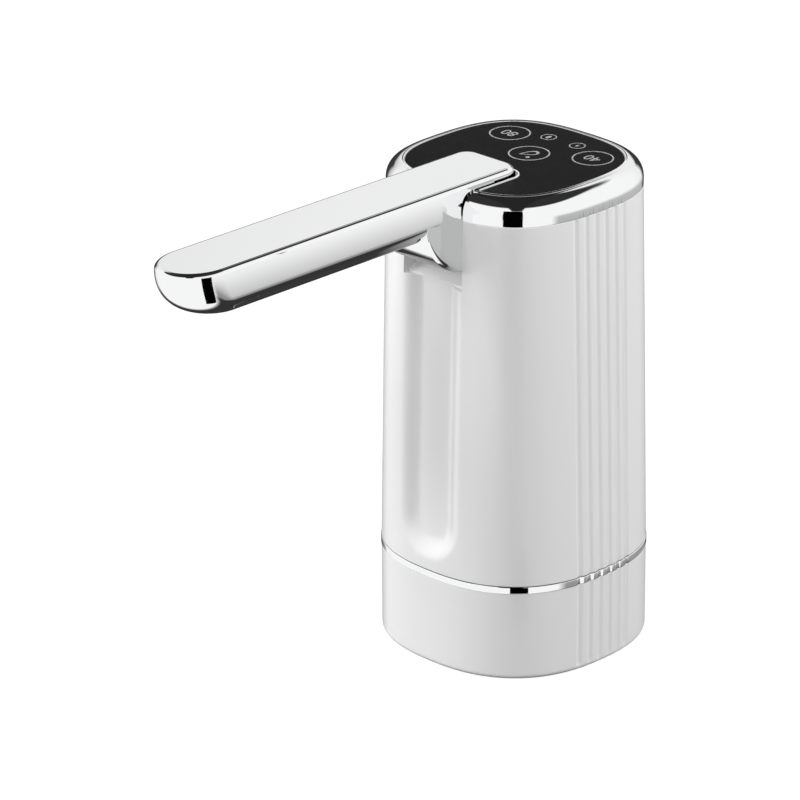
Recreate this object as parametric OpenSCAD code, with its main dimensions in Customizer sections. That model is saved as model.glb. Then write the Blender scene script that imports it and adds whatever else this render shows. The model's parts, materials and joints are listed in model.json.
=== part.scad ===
// Electric water jug pump with a folding spout.
// Millimetres, +Z up, front (spout) towards -Y, origin on the body axis at the foot plane.

/* [Housing] */
// Half width of the body at the trim band
body_half = 34.8; // [32:0.5:40]
// How much narrower each side is under the bezel
body_taper = 2.8; // [2:0.1:4]
// Squareness of the body section at the trim band
body_power = 2.41; // [2:0.01:4]
// Squareness of the body section under the bezel
top_power = 2.69; // [2:0.01:4]
// Height of the base ring
base_h = 26; // [22:0.5:34]
// Height of the trim band
band_h = 2.1; // [1.2:0.1:4]
// Height of the upper shell
shell_h = 103.7; // [100:0.1:112]
// Wall of the base and the upper shell
wall = 2.2; // [1.6:0.1:3]
// Edge radius of the foot
foot_r = 1.5; // [0.5:0.1:1.6]
// How far the band stands proud
band_proud = 0.15; // [0:0.05:0.5]

/* [Flutes] */
// Flutes on each side
flute_count = 6; // [2:1:8]
// Spacing of the flutes
flute_pitch = 3.75; // [3:0.05:4.2]
// Width of a flute
flute_w = 1.5; // [0.8:0.1:2.4]
// Depth of a flute
flute_d = 0.6; // [0.2:0.1:1.2]

/* [Front recess] */
// Half width of the recess floor
recess_half = 6; // [4:0.1:7]
// Width of the soft edge
recess_soft = 5; // [3:0.1:6]
// Depth of the recess
recess_d = 2.6; // [1.8:0.1:3.4]
// Lower end of the recess above the band
recess_gap = 1.6; // [0.5:0.1:6]

/* [Top] */
// Height of the bezel
bezel_h = 7.25; // [6.8:0.05:9]
// Width of the bezel's shoulder
bezel_w = 5.2; // [4.4:0.1:5.6]
// Squareness of the touch panel
panel_power = 2.86; // [2:0.01:4]
// Thickness of the touch panel
panel_t = 2.1; // [1.5:0.1:2.6]
// Thickness of the control board
board_t = 1.6; // [0.8:0.1:2]
// Gap between control board and panel
touch_gap = 1; // [0.6:0.1:1.4]

/* [Spout] */
// Width of the spout arm
arm_w = 21.3; // [16:0.1:21.6]
// Depth of the spout arm
arm_h = 13.5; // [12:0.1:13.9]
// Reach of the spout from the body axis
arm_reach = 128.6; // [115:0.5:140]
// Height of the spout top above the panel
arm_rise = 2.45; // [1.5:0.05:4]
// Length of the rounded tip
tip_len = 12; // [10:0.5:26]
// Sweep of the tip from its top to its underside
tip_bow = 12; // [6:0.5:16]
// Rounding of the lower edges
arm_round = 4.9; // [1:0.1:5.5]
// Thickness of the spout cover
cover_t = 1.2; // [0.8:0.1:1.6]
// Rear end of the spout behind the hinge
arm_tail = 20.7; // [16:0.1:23]
// Distance of the water outlet from the spout's tip
outlet_inset = 22.5; // [20:0.5:30]

/* [Hinge] */
// Hinge axis behind the front of the body
hinge_inset = 3; // [2.7:0.1:3.6]
// Hinge axis below the spout top
hinge_drop = 14.5; // [14:0.1:15.5]
// Radius of the hinge barrel
barrel_r = 10.4; // [9.5:0.1:10.8]
// Radius of the hinge pins
pin_r = 1.25; // [1:0.05:1.4]
// Radial running fit of the pins
pin_fit = 0.05; // [0.01:0.01:0.1]
// Gap at each side of the spout
side_gap = 0.3; // [0.3:0.05:0.6]
// Gap around the swinging barrel
swing_gap = 0.6; // [0.4:0.05:1]

/* [Bottle neck] */
// Gap between the bottle neck's bore and the body side
neck_inset = 7.2; // [6.6:0.1:8]
// Wall of the neck socket
neck_wall = 1.8; // [1.4:0.1:2]
// Thickness of the socket's top disc
disc_t = 2.5; // [2:0.1:4]
// Height of the soft seal
seal_h = 3; // [2:0.1:5]
// Outer radius of the hose nipple
nipple_r = 4; // [3:0.1:6]

/* [Pump] */
// Teeth on each pump gear
teeth = 11; // [9:1:13]
// Gear module
gear_m = 1; // [0.9:0.05:1.1]
// Height of the gears
gear_h = 7; // [5:0.5:8]
// Gap between gears and pump walls
gear_gap = 0.06; // [0.03:0.01:0.1]
// Radius of the motor can
motor_r = 12.2; // [10:0.1:12.6]
// Length of the motor can
motor_l = 30.8; // [24:0.1:36]
// Radius of the motor shaft
shaft_r = 1; // [0.8:0.1:1.5]
// Inner radius of the water tubes
tube_in = 2; // [1.5:0.1:2.4]
// Wall of the water tubes
tube_wall = 1; // [0.6:0.1:1.2]

/* [Power] */
// Radius of the battery cell
cell_r = 9.2; // [7:0.1:9.4]
// Length of the battery cell
cell_l = 65; // [50:0.5:66]
// Height of the charging socket above the foot
socket_z = 62; // [54:0.5:80]
// Width of the charging socket
socket_w = 9; // [8:0.1:10]
// Height of the charging socket's mouth
socket_h = 3.3; // [3:0.1:4]

/* [Hidden] */
$fn = 48;
e = 0.01;
// Levels
shell_z = base_h + band_h;
top_z = shell_z + shell_h;
panel_z = top_z + bezel_h;
board_z = panel_z - panel_t - touch_gap;
arm_top = panel_z + arm_rise;
arm_bot = arm_top - arm_h;
deck_z = base_h - 2;
disc_z = deck_z - disc_t;
// Housing
top_half = body_half - body_taper;
panel_half = top_half - bezel_w;
neck_r = body_half - neck_inset;
draft = (body_half - top_half) / shell_h;
flat_y = flute_count * flute_pitch / 2 + 1;
recess_edge = recess_half + recess_soft;
recess_z = shell_z + recess_gap + recess_edge;
recess_top = top_z - 8;
corner_steps = 6;
corner_at = (body_half - wall) * sqrt(2) * pow(2, -1 / body_power);
screw_at = (corner_at - 2.8) * sqrt(0.5);
tap_r = 1;
seat_step = 0.4;
clip_r = 0.8;
// Hinge
hy = hinge_inset - top_half;
hz = arm_top - hinge_drop;
fold = 86.5;
arm_half = arm_w / 2;
slot_half = arm_half + side_gap;
lug_turn = 250;
lug_r = 18.55;
lug_c = [hy, hz] - (lug_r - barrel_r) * [cos(lug_turn), sin(lug_turn)];
cradle_y = hy + barrel_r + swing_gap;
cradle_t = 2;
tray_z = panel_z - 2.65;
tray_t = 0.8;
tail_y = hy + arm_tail;
tail_z = tray_z + tray_t + 0.4;
slot_z = hz - lug_reach(270 - fold) - swing_gap - 1;
port_z = hz + 3.5;
cheek_half = slot_half + 3.55;
cheek_front = half_at(top_z) - 1.7;
lip_w = 0.6;
// Spout inside
duct_z = arm_top - 5.5;
outlet_reach = arm_reach - outlet_inset;
tube_out = tube_in + tube_wall;
// Pump
gear_r = gear_m * teeth / 2;
tip_r = gear_r + gear_m;
pump_y = 7;
pump_z = base_h + 8;
cavity_z = pump_z + 3;
pump_top = cavity_z + gear_h + 2 * gear_gap;
cover_top = pump_top + 3;
pump_half = gear_r + tip_r + 2;
pump_lo = -4.5;
pump_hi = pump_y + tip_r + 3;
bolt_x = pump_half - 2.8;
bolt_y = [pump_lo + 2.8, pump_hi - 2.8];
out_z = cavity_z + gear_h / 2;
bend = tube_out + 0.4;
nipple_l = 2.5;
riser_y = pump_hi + nipple_l + bend;
can_wall = 1;
// Power
cell_x = 16.5;
cell_y = -6;
cell_z = cover_top + 4.4;
holder_t = 1.4;
chg_y = half_at(socket_z) - 5.3;
chg_t = 1.2;

function half_at(z) = body_half - (z - shell_z) * draft;
function power_at(z) = body_power + (top_power - body_power) * (z - shell_z) / shell_h;
function soft(u) = u <= 0 ? 0 : u >= 1 ? 1 : u * u * (3 - 2 * u);
function across(a, n, s) = a * pow(1 - pow(min(abs(s), a) / a, n), 1 / n);
function flute_at(i) = (i - (flute_count - 1) / 2) * flute_pitch;
function nearest_flute(y) = flute_at(max(0, min(flute_count - 1, round(y / flute_pitch + (flute_count - 1) / 2))));
function flute(y) = flute_d * max(0, 1 - abs(y - nearest_flute(y)) * 2 / flute_w);
function recess_r(x, z) = z >= recess_z ? abs(x) : norm([x, recess_z - z]);
function recess(x, z) = recess_d * soft((recess_edge - recess_r(x, z)) / recess_soft) * soft((recess_top - z) / 8);
side_ys = concat(
    [-flat_y],
    [for (i = [0:flute_count - 1], k = [-1:2]) if (k < 2 || i < flute_count - 1) flute_at(i) + (k < 2 ? k * flute_w : flute_pitch) / 2],
    [flat_y]
);
front_xs = let (q = [recess_edge + 1.6, recess_edge, recess_half + recess_soft / 2, recess_half, 0.7 * recess_half, 0.35 * recess_half])
    concat(-q, [0], [for (i = [len(q) - 1:-1:0]) q[i]]);
back_xs = let (w = recess_edge + 1.6) [w, w / 2, 0, -w / 2, -w];

// Corner points from a side face round to the front or back face
function corner(a, n) = let (
    t0 = asin(pow(flat_y / a, n / 2)),
    t1 = acos(pow((recess_edge + 1.6) / a, n / 2))
) [for (j = [1:corner_steps]) let (t = t0 + (t1 - t0) * j / (corner_steps + 1))
    [a * pow(cos(t), 2 / n), a * pow(sin(t), 2 / n)]];
function flipped(c) = [for (j = [len(c) - 1:-1:0]) c[j]];

// One body section; s = [half width, power, height, flutes, recess]
function ring(s) = let (a = s[0], n = s[1], z = s[2], c = corner(a, n), m = len(side_ys) - 1) concat(
    [for (y = side_ys) [across(a, n, y) - s[3] * flute(y), y, z]],
    [for (p = c) [p.x, p.y, z]],
    [for (x = back_xs) [x, across(a, n, x), z]],
    [for (p = flipped(c)) [-p.x, p.y, z]],
    [for (j = [m:-1:0]) let (y = side_ys[j]) [s[3] * flute(y) - across(a, n, y), y, z]],
    [for (p = c) [-p.x, -p.y, z]],
    [for (x = front_xs) [x, s[4] * recess(x, z) - across(a, n, x), z]],
    [for (p = flipped(c)) [p.x, -p.y, z]]
);
function skin(k0, k1, m) = [for (j = [0:m - 1], h = [0, 1]) let (i = (j + 1) % m)
    h == 0 ? [k0 * m + j, k1 * m + j, k1 * m + i] : [k0 * m + j, k1 * m + i, k0 * m + i]];

// Closed hoop through a loop of sections, outer ones upwards and inner ones downwards
module hoop(sections) {
    rings = [for (s = sections) ring(s)];
    m = len(rings[0]);
    k = len(rings);
    polyhedron([for (r = rings) each r], [for (i = [0:k - 1]) each skin(i, (i + 1) % k, m)], convexity = 10);
}

// Solid plug through sections from bottom to top
module plug(sections) {
    stack([for (s = sections) ring(s)]);
}

module stack(rings) {
    m = len(rings[0]);
    k = len(rings);
    polyhedron(
        [for (r = rings) each r],
        concat(
            [for (i = [0:k - 2]) each skin(i, i + 1, m)],
            [[for (j = [0:m - 1]) j]],
            [[for (j = [m - 1:-1:0]) (k - 1) * m + j]]
        ),
        convexity = 10
    );
}

module rounded(w, l, r) {
    square([w - 2 * r, l], center = true);
    square([w, l - 2 * r], center = true);
    for (x = [-1, 1], y = [-1, 1])
        translate([x * (w / 2 - r), y * (l / 2 - r)])
            circle(r);
}

module block(x0, x1, y0, y1, z0, z1) {
    translate([x0, y0, z0])
        cube([x1 - x0, y1 - y0, z1 - z0]);
}

// Cylinder along X, Y or Z between two places on that axis
module along_x(y, z, r, x0, x1) {
    translate([x0, y, z])
        rotate([0, 90, 0])
            cylinder(r = r, h = x1 - x0);
}

module along_y(x, z, r, y0, y1) {
    translate([x, y1, z])
        rotate([90, 0, 0])
            cylinder(r = r, h = y1 - y0);
}

module along_z(x, y, r, z0, z1) {
    translate([x, y, z0])
        cylinder(r = r, h = z1 - z0);
}

module at_corners() {
    for (x = [-1, 1], y = [-1, 1])
        translate([x * screw_at, y * screw_at, 0])
            children();
}

module at_bolts() {
    for (x = [-bolt_x, bolt_x], y = bolt_y)
        translate([x, y, 0])
            children();
}

// Distance from the hinge axis to the lug's outline in direction t
function lug_reach(t) = let (
    c = lug_c - [hy, hz],
    d = c * [cos(t), sin(t)]
) d + sqrt(lug_r * lug_r - c * c + d * d);

// Base ring with its foot radius, flutes and top flange
module base_shell() {
    n = body_power;
    color("white")
        difference() {
            hoop([
                [body_half - foot_r, n, 0, 0, 0],
                [body_half - 0.3 * foot_r, n, 0.3 * foot_r, 0, 0],
                [body_half, n, foot_r, 0.5, 0],
                [body_half, n, 2 * foot_r, 1, 0],
                [body_half, n, base_h, 1, 0],
                [neck_r + 1.2, 2, base_h, 0, 0],
                [neck_r + 1.2, 2, deck_z, 0, 0],
                [body_half - wall, n, deck_z, 0, 0],
                [body_half - wall, n, 0, 0, 0]
            ]);
            at_corners()
                along_z(0, 0, 1.3, deck_z - 1, base_h + 1);
        }
}

module neck_socket() {
    r = neck_r + neck_wall;
    color("whitesmoke")
        difference() {
            union() {
                along_z(0, 0, r, 0, deck_z - e);
                along_z(0, 0, r + 1.6, disc_z, deck_z);
                at_corners()
                    along_z(0, 0, 2.6, disc_z, deck_z);
            }
            along_z(0, 0, neck_r, -1, disc_z - seal_h);
            along_z(0, 0, neck_r - seat_step, -1, disc_z);
            along_z(0, 0, 6, disc_z - 1, deck_z + 1);
            at_corners()
                along_z(0, 0, 1.3, disc_z - 1, deck_z + 1);
            at_bolts()
                along_z(0, 0, 1.3, disc_z - 1, deck_z + 1);
        }
}

module neck_seal() {
    color("gainsboro")
        difference() {
            along_z(0, 0, neck_r - seat_step, disc_z - seal_h, disc_z);
            along_z(0, 0, neck_r - 4, disc_z - seal_h - 1, disc_z + 1);
        }
}

// Hose nipple down to the foot plane, a flange on the disc and a spigot for the pump sleeve
module inlet_fitting() {
    foot = disc_z - 1;
    bore = tube_in - 0.7;
    color("white")
        difference() {
            union() {
                along_z(0, 0, nipple_r, 0, foot + e);
                along_z(0, 0, 6, foot, deck_z + e);
                along_z(0, 0, 9, deck_z, base_h);
                along_z(0, 0, tube_in, base_h - e, base_h + 3.5);
            }
            along_z(0, 0, bore, -1, base_h + 5);
        }
}

module inlet_tube() {
    color("lightgray")
        difference() {
            along_z(0, 0, tube_out, base_h, pump_z);
            along_z(0, 0, tube_in, base_h - 1, pump_z + 1);
        }
}

module screw(r, l) {
    translate([0, 0, -1.3])
        cylinder(r = 1.9, h = 1.3);
    translate([0, 0, -e])
        cylinder(r = r, h = l + e);
}

module base_screws() {
    color("silver")
        at_corners()
            translate([0, 0, disc_z])
                screw(tap_r, 20);
}

module trim_band() {
    a = body_half + band_proud;
    color("lightsteelblue")
        hoop([
            [a, body_power, base_h, 1, 0],
            [a, body_power, shell_z, 1, 0],
            [body_half - wall, body_power, shell_z, 0, 0],
            [body_half - wall, body_power, base_h, 0, 0]
        ]);
}

function shell_ring(z, inset) = [half_at(z) - inset, power_at(z), z, inset > 0 ? 0 : 1, 1];

// Drafted shell: fluted skin with the soft front recess, hinge cheeks, bosses and openings
module upper_shell() {
    low = shell_z + recess_gap;
    span = recess_z - low;
    outer = concat(
        [shell_z],
        [for (u = [0.07, 0.22, 0.42, 0.68, 1]) low + u * span],
        [recess_z + 20, recess_z + 45, recess_top - 12, recess_top - 8, recess_top - 4, recess_top, top_z]
    );
    inner = [top_z, recess_top, recess_top - 8, recess_z, low + 0.68 * span, low + 0.22 * span, shell_z];
    color("white")
        difference() {
            union() {
                hoop(concat([for (z = outer) shell_ring(z, 0)], [for (z = inner) shell_ring(z, wall)]));
                for (s = [-1, 1])
                    scale([s, 1, 1])
                        block(slot_half, cheek_half, -cheek_front, cradle_y, slot_z + 1, top_z);
                at_corners() {
                    along_z(0, 0, 2.3, base_h, shell_z + 1);
                    along_z(0, 0, 3, shell_z + 0.5, shell_z + 24);
                }
                for (x = [-6.2, 6.2], z = [-6, 6])
                    along_y(x, socket_z + z, 1.9, chg_y + chg_t, half_at(socket_z + z) - 1);
            }
            block(-slot_half, slot_half, -body_half - 1, cradle_y, slot_z, top_z + 1);
            for (s = [-1, 1])
                scale([s, 1, 1]) {
                    along_x(hy, hz, pin_r + pin_fit, slot_half - 1, slot_half + 2.8);
                    block(slot_half - 1, slot_half + 2.8, hy - pin_r - pin_fit, hy + pin_r + pin_fit, hz, top_z + 1);
                    along_y(slot_half + 1.85, hz - 6, clip_r, cradle_y - 8, cradle_y + 1);
                }
            at_corners()
                along_z(0, 0, tap_r, base_h - 1, shell_z + 18);
            for (x = [-6.2, 6.2], z = [-6, 6])
                along_y(x, socket_z + z, clip_r, chg_y - 1, chg_y + chg_t + 3);
            translate([0, body_half + 2, socket_z])
                rotate([90, 0, 0])
                    linear_extrude(8)
                        rounded(socket_w + 0.4, socket_h + 0.4, socket_h / 2);
        }
}

// Chrome cap ring: rounded shoulder outside, panel seat and shelf inside, notch for the spout
module top_bezel() {
    d = top_half - panel_half;
    rise = 0.72 * bezel_h;
    lip = half_at(top_z - 2) - wall - 0.15;
    color("silver")
        difference() {
            hoop(concat(
                [[lip, top_power, top_z - 2, 0, 0], [lip, top_power, top_z, 0, 0]],
                [[top_half, top_power, top_z, 0, 0]],
                [for (t = [0:15:90]) let (u = 1 - cos(t))
                    [top_half - d * u, top_power + (panel_power - top_power) * u, panel_z - rise * (1 - sin(t)), 0, 0]],
                [
                    [panel_half, panel_power, panel_z - panel_t, 0, 0],
                    [panel_half - 2.2, panel_power, panel_z - panel_t, 0, 0],
                    [panel_half - 2.2, panel_power, board_z, 0, 0],
                    [panel_half + 0.4, panel_power, board_z, 0, 0],
                    [lip - 1.2, top_power, top_z, 0, 0],
                    [lip - 1.2, top_power, top_z - 2, 0, 0]
                ]
            ));
            block(-slot_half, slot_half, -body_half, cradle_y, top_z - 3, panel_z + 1);
            block(-slot_half - lip_w, slot_half + lip_w, 1 - panel_half, cradle_y, top_z - 3, panel_z + 1);
            block(-cheek_half - 0.5, cheek_half + 0.5, -body_half, cradle_y + 3, top_z - 3, top_z);
        }
}

module touch_panel() {
    w = slot_half + lip_w;
    color("black")
        difference() {
            plug([
                [panel_half - 0.02, panel_power, panel_z - panel_t, 0, 0],
                [panel_half - 0.02, panel_power, panel_z, 0, 0]
            ]);
            translate([0, tail_y + 0.5 + lip_w - body_half, panel_z - panel_t - 1])
                linear_extrude(panel_t + 2)
                    rounded(2 * w + 0.04, 2 * body_half + 0.04, 5);
        }
}

// Chrome lip round the spout's rear end, with the floor under it
module notch_trim() {
    w = slot_half + lip_w;
    back = tail_y + 0.5 + lip_w;
    front = 1.3 - panel_half;
    color("silver")
        difference() {
            translate([0, 0, tray_z])
                linear_extrude(panel_z + 0.3 - tray_z)
                    translate([0, back - body_half])
                        rounded(2 * w, 2 * body_half, 5);
            translate([0, 0, tray_z + tray_t])
                linear_extrude(10)
                    translate([0, back - lip_w - body_half])
                        rounded(2 * slot_half, 2 * body_half, 5 - lip_w);
            block(-slot_half, slot_half, -3 * body_half, cradle_y + 0.6, tray_z - 1, tray_z + 5);
            block(-w - 1, w + 1, -3 * body_half, front, tray_z - 1, panel_z + 1);
        }
}

module control_board() {
    color("darkgreen")
        difference() {
            plug([
                [panel_half - 0.6, panel_power, board_z - board_t, 0, 0],
                [panel_half - 0.6, panel_power, board_z, 0, 0]
            ]);
            block(-40, 40, -40, cradle_y + 6, board_z - board_t - 1, board_z + 1);
        }
}

// Key places on the panel
key_x = panel_half - 11.8;
key_y = panel_half - 12.3;
keys = [[-key_x, key_y], [0, panel_half - 21.2], [key_x, key_y]];
lamps = [[-5.2, panel_half - 7.4], [5.2, panel_half - 7.4]];

module touch_springs() {
    color("goldenrod")
        for (p = keys)
            along_z(p.x, p.y, 4.5, board_z, board_z + touch_gap);
}

module indicator_leds() {
    color("ivory")
        for (p = lamps)
            along_z(p.x, p.y, 1.2, board_z, board_z + touch_gap);
}

module pump_outline() {
    translate([0, (pump_lo + pump_hi) / 2])
        rounded(2 * pump_half, pump_hi - pump_lo, 2.8);
}

// Pump block on four legs: two gear chambers, inlet below, outlet nipple behind
module pump_body() {
    color("lightgray")
        difference() {
            union() {
                translate([0, 0, pump_z])
                    linear_extrude(pump_top - pump_z)
                        pump_outline();
                at_bolts()
                    along_z(0, 0, 2.6, deck_z, pump_z + e);
                along_z(0, 0, tube_in, pump_z - 3.5, pump_z + e);
                along_y(0, out_z, tube_in, pump_hi - 1, pump_hi + nipple_l);
            }
            for (x = [-gear_r, gear_r])
                along_z(x, pump_y, tip_r + gear_gap, cavity_z, pump_top + 1);
            block(-2, 2, -2, pump_y - 2.5, cavity_z, pump_top + 1);
            block(-2, 2, pump_y + 2.5, pump_y + 7, cavity_z, pump_top + 1);
            along_z(0, 0, tube_in - 0.7, pump_z - 5, cavity_z + 1);
            along_y(0, out_z, tube_in - 0.7, pump_y + 6, pump_hi + 6);
            along_z(gear_r, pump_y, 1.5, pump_z + 1, cavity_z + 1);
            at_bolts() {
                along_z(0, 0, tap_r, deck_z - 1, deck_z + 8);
                along_z(0, 0, tap_r, pump_top - 8, pump_top + 1);
            }
        }
}

module pump_cover() {
    color("lightgray")
        difference() {
            translate([0, 0, pump_top])
                linear_extrude(cover_top - pump_top)
                    pump_outline();
            along_z(-gear_r, pump_y, shaft_r + 0.3, pump_top - 1, cover_top + 1);
            along_z(-gear_r, pump_y, 3, pump_top + 1, cover_top + 1);
            along_z(gear_r, pump_y, 1.55, pump_top - 1, pump_top + 1.5);
            at_bolts() {
                along_z(0, 0, 1.2, pump_top - 1, cover_top + 1);
                along_z(0, 0, 2.1, cover_top - 1.5, cover_top + 1);
            }
        }
}

module shaft_seal() {
    color("dimgray")
        difference() {
            along_z(-gear_r, pump_y, 3, pump_top + 1, cover_top - 0.2);
            along_z(-gear_r, pump_y, shaft_r + 0.05, pump_top, cover_top + 1);
        }
}

module pump_screws() {
    color("silver")
        at_bolts()
            translate([0, 0, cover_top - 1.5])
                mirror([0, 0, 1])
                    screw(tap_r, 8);
}

module pump_mount_screws() {
    color("silver")
        at_bolts()
            translate([0, 0, disc_z])
                screw(tap_r, 9);
}

// Involute flank point at radius r on base circle b, turned by t
function involute(r, b, t) = let (q = sqrt(max(0, r * r / (b * b) - 1)), w = q * 180 / PI - atan(q) + t) r * [cos(w), sin(w)];

// Spur gear outline with the pitch tooth narrowed by a little backlash
function gear_points() = let (
    b = gear_r * cos(20),
    root = gear_r - 1.2 * gear_m,
    q = tan(20),
    half = 90 / teeth - 1.2 + (q * 180 / PI - 20),
    rs = [for (i = [0:4]) let (r0 = max(b, root)) r0 + (tip_r - 0.1 - r0) * i / 4]
) [for (k = [0:teeth - 1]) let (a = k * 360 / teeth) each concat(
    [root * [cos(a - half), sin(a - half)]],
    [for (r = rs) involute(r, b, a - half)],
    [for (i = [4:-1:0]) let (p = involute(rs[i], b, -half)) [p.x * cos(a) + p.y * sin(a), p.x * sin(a) - p.y * cos(a)]],
    [root * [cos(a + half), sin(a + half)]]
)];

module gear(x, bore) {
    translate([x, pump_y, cavity_z + gear_gap])
        difference() {
            linear_extrude(gear_h)
                polygon(gear_points());
            translate([0, 0, -1])
                cylinder(r = bore, h = gear_h + 2);
        }
}

module drive_gear() {
    color("ivory")
        gear(-gear_r, shaft_r);
}

module idler_gear() {
    color("ivory")
        gear(gear_r, 1.55);
}

module idler_pin() {
    color("silver")
        along_z(gear_r, pump_y, 1.5, pump_z + 1, pump_top + 1.4);
}

module motor_can() {
    color("silver")
        difference() {
            along_z(-gear_r, pump_y, motor_r, cover_top, cover_top + motor_l);
            along_z(-gear_r, pump_y, motor_r - can_wall, cover_top + can_wall, cover_top + motor_l + 1);
            along_z(-gear_r, pump_y, shaft_r + 0.3, cover_top - 1, cover_top + 2);
        }
}

// Plastic end cap with the shaft's rear bearing and two terminals
module motor_cap() {
    z = cover_top + motor_l;
    color("black")
        difference() {
            union() {
                along_z(-gear_r, pump_y, motor_r - can_wall, z - 2.5, z);
                along_z(-gear_r, pump_y, 4, z - e, z + 1.6);
                for (x = [-1, 1])
                    block(x * 7 - gear_r - 1, x * 7 - gear_r + 1, pump_y - 0.3, pump_y + 0.3, z - e, z + 3.5);
            }
            along_z(-gear_r, pump_y, shaft_r + 0.05, z - 3, z + 0.6);
        }
}

module motor_rotor() {
    z = cover_top + can_wall + 4;
    color("dimgray") {
        along_z(-gear_r, pump_y, shaft_r, cavity_z + 2 * gear_gap, cover_top + motor_l + 0.4);
        along_z(-gear_r, pump_y, motor_r - can_wall - 2.5, z, cover_top + motor_l - 6);
    }
}

// Quarter bend of tube in the YZ plane about a centre, from one angle on
module tube_bend(y, z, r0, r, from) {
    translate([0, y, z])
        rotate([90, 0, 90])
            rotate_extrude(angle = 90, start = from)
                translate([r0, 0])
                    circle(r);
}

// Riser path: off the pump's nipple, up behind the motor, forward to the hinge cradle
module riser(r, more) {
    along_y(0, out_z, r, pump_hi - more, riser_y - bend);
    tube_bend(riser_y - bend, out_z + bend, bend, r, 270);
    along_z(0, riser_y, r, out_z + bend, port_z - bend);
    tube_bend(riser_y - bend, port_z - bend, bend, r, 0);
    along_y(0, port_z, r, cradle_y + cradle_t - more, riser_y - bend);
}

module outlet_tube() {
    color("gainsboro")
        difference() {
            riser(tube_out, 0);
            riser(tube_in, 1);
        }
}

module battery_cell() {
    color("steelblue") {
        along_z(cell_x, cell_y, cell_r, cell_z, cell_z + cell_l - 1);
        along_z(cell_x, cell_y, 3, cell_z + cell_l - 1 - e, cell_z + cell_l);
    }
}

// Cup and open sleeve for the cell, standing on the pump cover
module battery_holder() {
    r = cell_r + 0.1;
    color("darkgray")
        difference() {
            union() {
                along_z(cell_x, cell_y, r + holder_t, cell_z - 2, cell_z + 45);
                block(cell_x - 8.5, pump_half, pump_lo, 3, cover_top, cell_z);
            }
            along_z(cell_x, cell_y, r, cell_z, cell_z + 46);
            block(cell_x - 5, cell_x + 5, cell_y, cell_y + 20, cell_z + 8, cell_z + 46);
        }
}

module charge_board() {
    color("darkgreen")
        difference() {
            block(-8.5, 8.5, chg_y, chg_y + chg_t, socket_z - 9, socket_z + 9);
            for (x = [-6.2, 6.2], z = [-6, 6])
                along_y(x, socket_z + z, 1, chg_y - 1, chg_y + 3);
        }
}

// Charging socket: rounded metal mouth with a contact tongue
module charge_socket() {
    y = chg_y + chg_t;
    mouth = half_at(socket_z) - 0.3;
    color("silver")
        translate([0, mouth, socket_z])
            rotate([90, 0, 0]) {
                difference() {
                    linear_extrude(mouth - y)
                        rounded(socket_w, socket_h, socket_h / 2 - 0.05);
                    translate([0, 0, -1])
                        linear_extrude(mouth - y - 0.4)
                            rounded(socket_w - 0.7, socket_h - 0.7, socket_h / 2 - 0.4);
                }
                translate([0, 0, (mouth - y) / 2 + 0.4])
                    cube([socket_w - 2.6, 0.7, mouth - y - 0.8], center = true);
            }
}

module board_screws() {
    color("silver")
        for (x = [-6.2, 6.2], z = [-6, 6])
            translate([x, chg_y, socket_z + z])
                rotate([-90, 0, 0])
                    screw(clip_r, 3.6);
}

// Space that the barrel and lug sweep between the open and the folded place, grown by g
module sweep_area(g) {
    translate([hy, hz])
        circle(barrel_r + g);
    polygon(concat(
        [[hy, hz]],
        [for (t = [164:8:252]) let (r = max(lug_reach(t), barrel_r) + g) [hy, hz] + r * [cos(t + fold), sin(t + fold)]]
    ));
    translate([hy, hz])
        square([barrel_r + g, tray_z - hz]);
}

// Pocket wall behind the swinging barrel, with screw ears and the water port
module hinge_cradle() {
    lip = recess_d - half_at(slot_z);
    front = lip + wall + 0.7;
    back = cradle_y + cradle_t;
    color("white")
        difference() {
            union() {
                translate([-slot_half, 0, 0])
                    rotate([90, 0, 90])
                        linear_extrude(2 * slot_half)
                            difference() {
                                sweep_area(swing_gap + cradle_t);
                                sweep_area(swing_gap);
                                translate([lip - 60, hz - 40])
                                    square([60, 80]);
                                translate([front - 60, hz - 40])
                                    square([60, slot_z + 0.02 - hz + 40]);
                                translate([lip - 1, hz])
                                    square([cradle_y - lip + 1, 40]);
                                translate([lip - 1, tray_z])
                                    square([40, 40]);
                            }
                block(-cheek_half, cheek_half, cradle_y, back, hz - 9, hz + 4);
                along_y(0, port_z, tube_in, back - e, back + 6);
            }
            along_y(0, port_z, tube_in - 0.7, cradle_y - 1, back + 7);
            along_y(0, port_z, 3.6, cradle_y - 1, cradle_y + 0.75);
            for (x = [-1, 1])
                along_y(x * (slot_half + 1.85), hz - 6, 1, cradle_y - 1, back + 1);
        }
}

module cradle_screws() {
    color("silver")
        for (x = [-1, 1])
            translate([x * (slot_half + 1.85), cradle_y + cradle_t, hz - 6])
                rotate([90, 0, 0])
                    screw(clip_r, 9);
}

module port_seal() {
    color("dimgray")
        translate([0, cradle_y + 0.25, port_z])
            rotate([90, 0, 0])
                rotate_extrude()
                    translate([3.1, 0])
                        circle(0.5);
}

module hinge_pins() {
    color("silver")
        for (s = [-1, 1])
            scale([s, 1, 1])
                along_x(hy, hz, pin_r, arm_half - 4, slot_half + 2.6);
}

// Blocks that close the pin slots under the bezel
module hinge_keepers() {
    w = pin_r + pin_fit;
    color("white")
        for (s = [-1, 1])
            scale([s, 1, 1])
                block(slot_half + e, slot_half + 2.8, hy - w, hy + w, hz + w, top_z);
}

// How far the rounded lower edge draws the arm's outline in at a height above its underside
function arm_inset(h) = h >= arm_round ? 0 : arm_round - sqrt(arm_round * arm_round - pow(arm_round - h, 2));

// How far the tip is swept back at a height above the underside
function arm_sweep(h) = tip_bow * (1 - sqrt(1 - pow(max(0, 1 - h / (arm_h - cover_t)), 2)));

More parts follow.
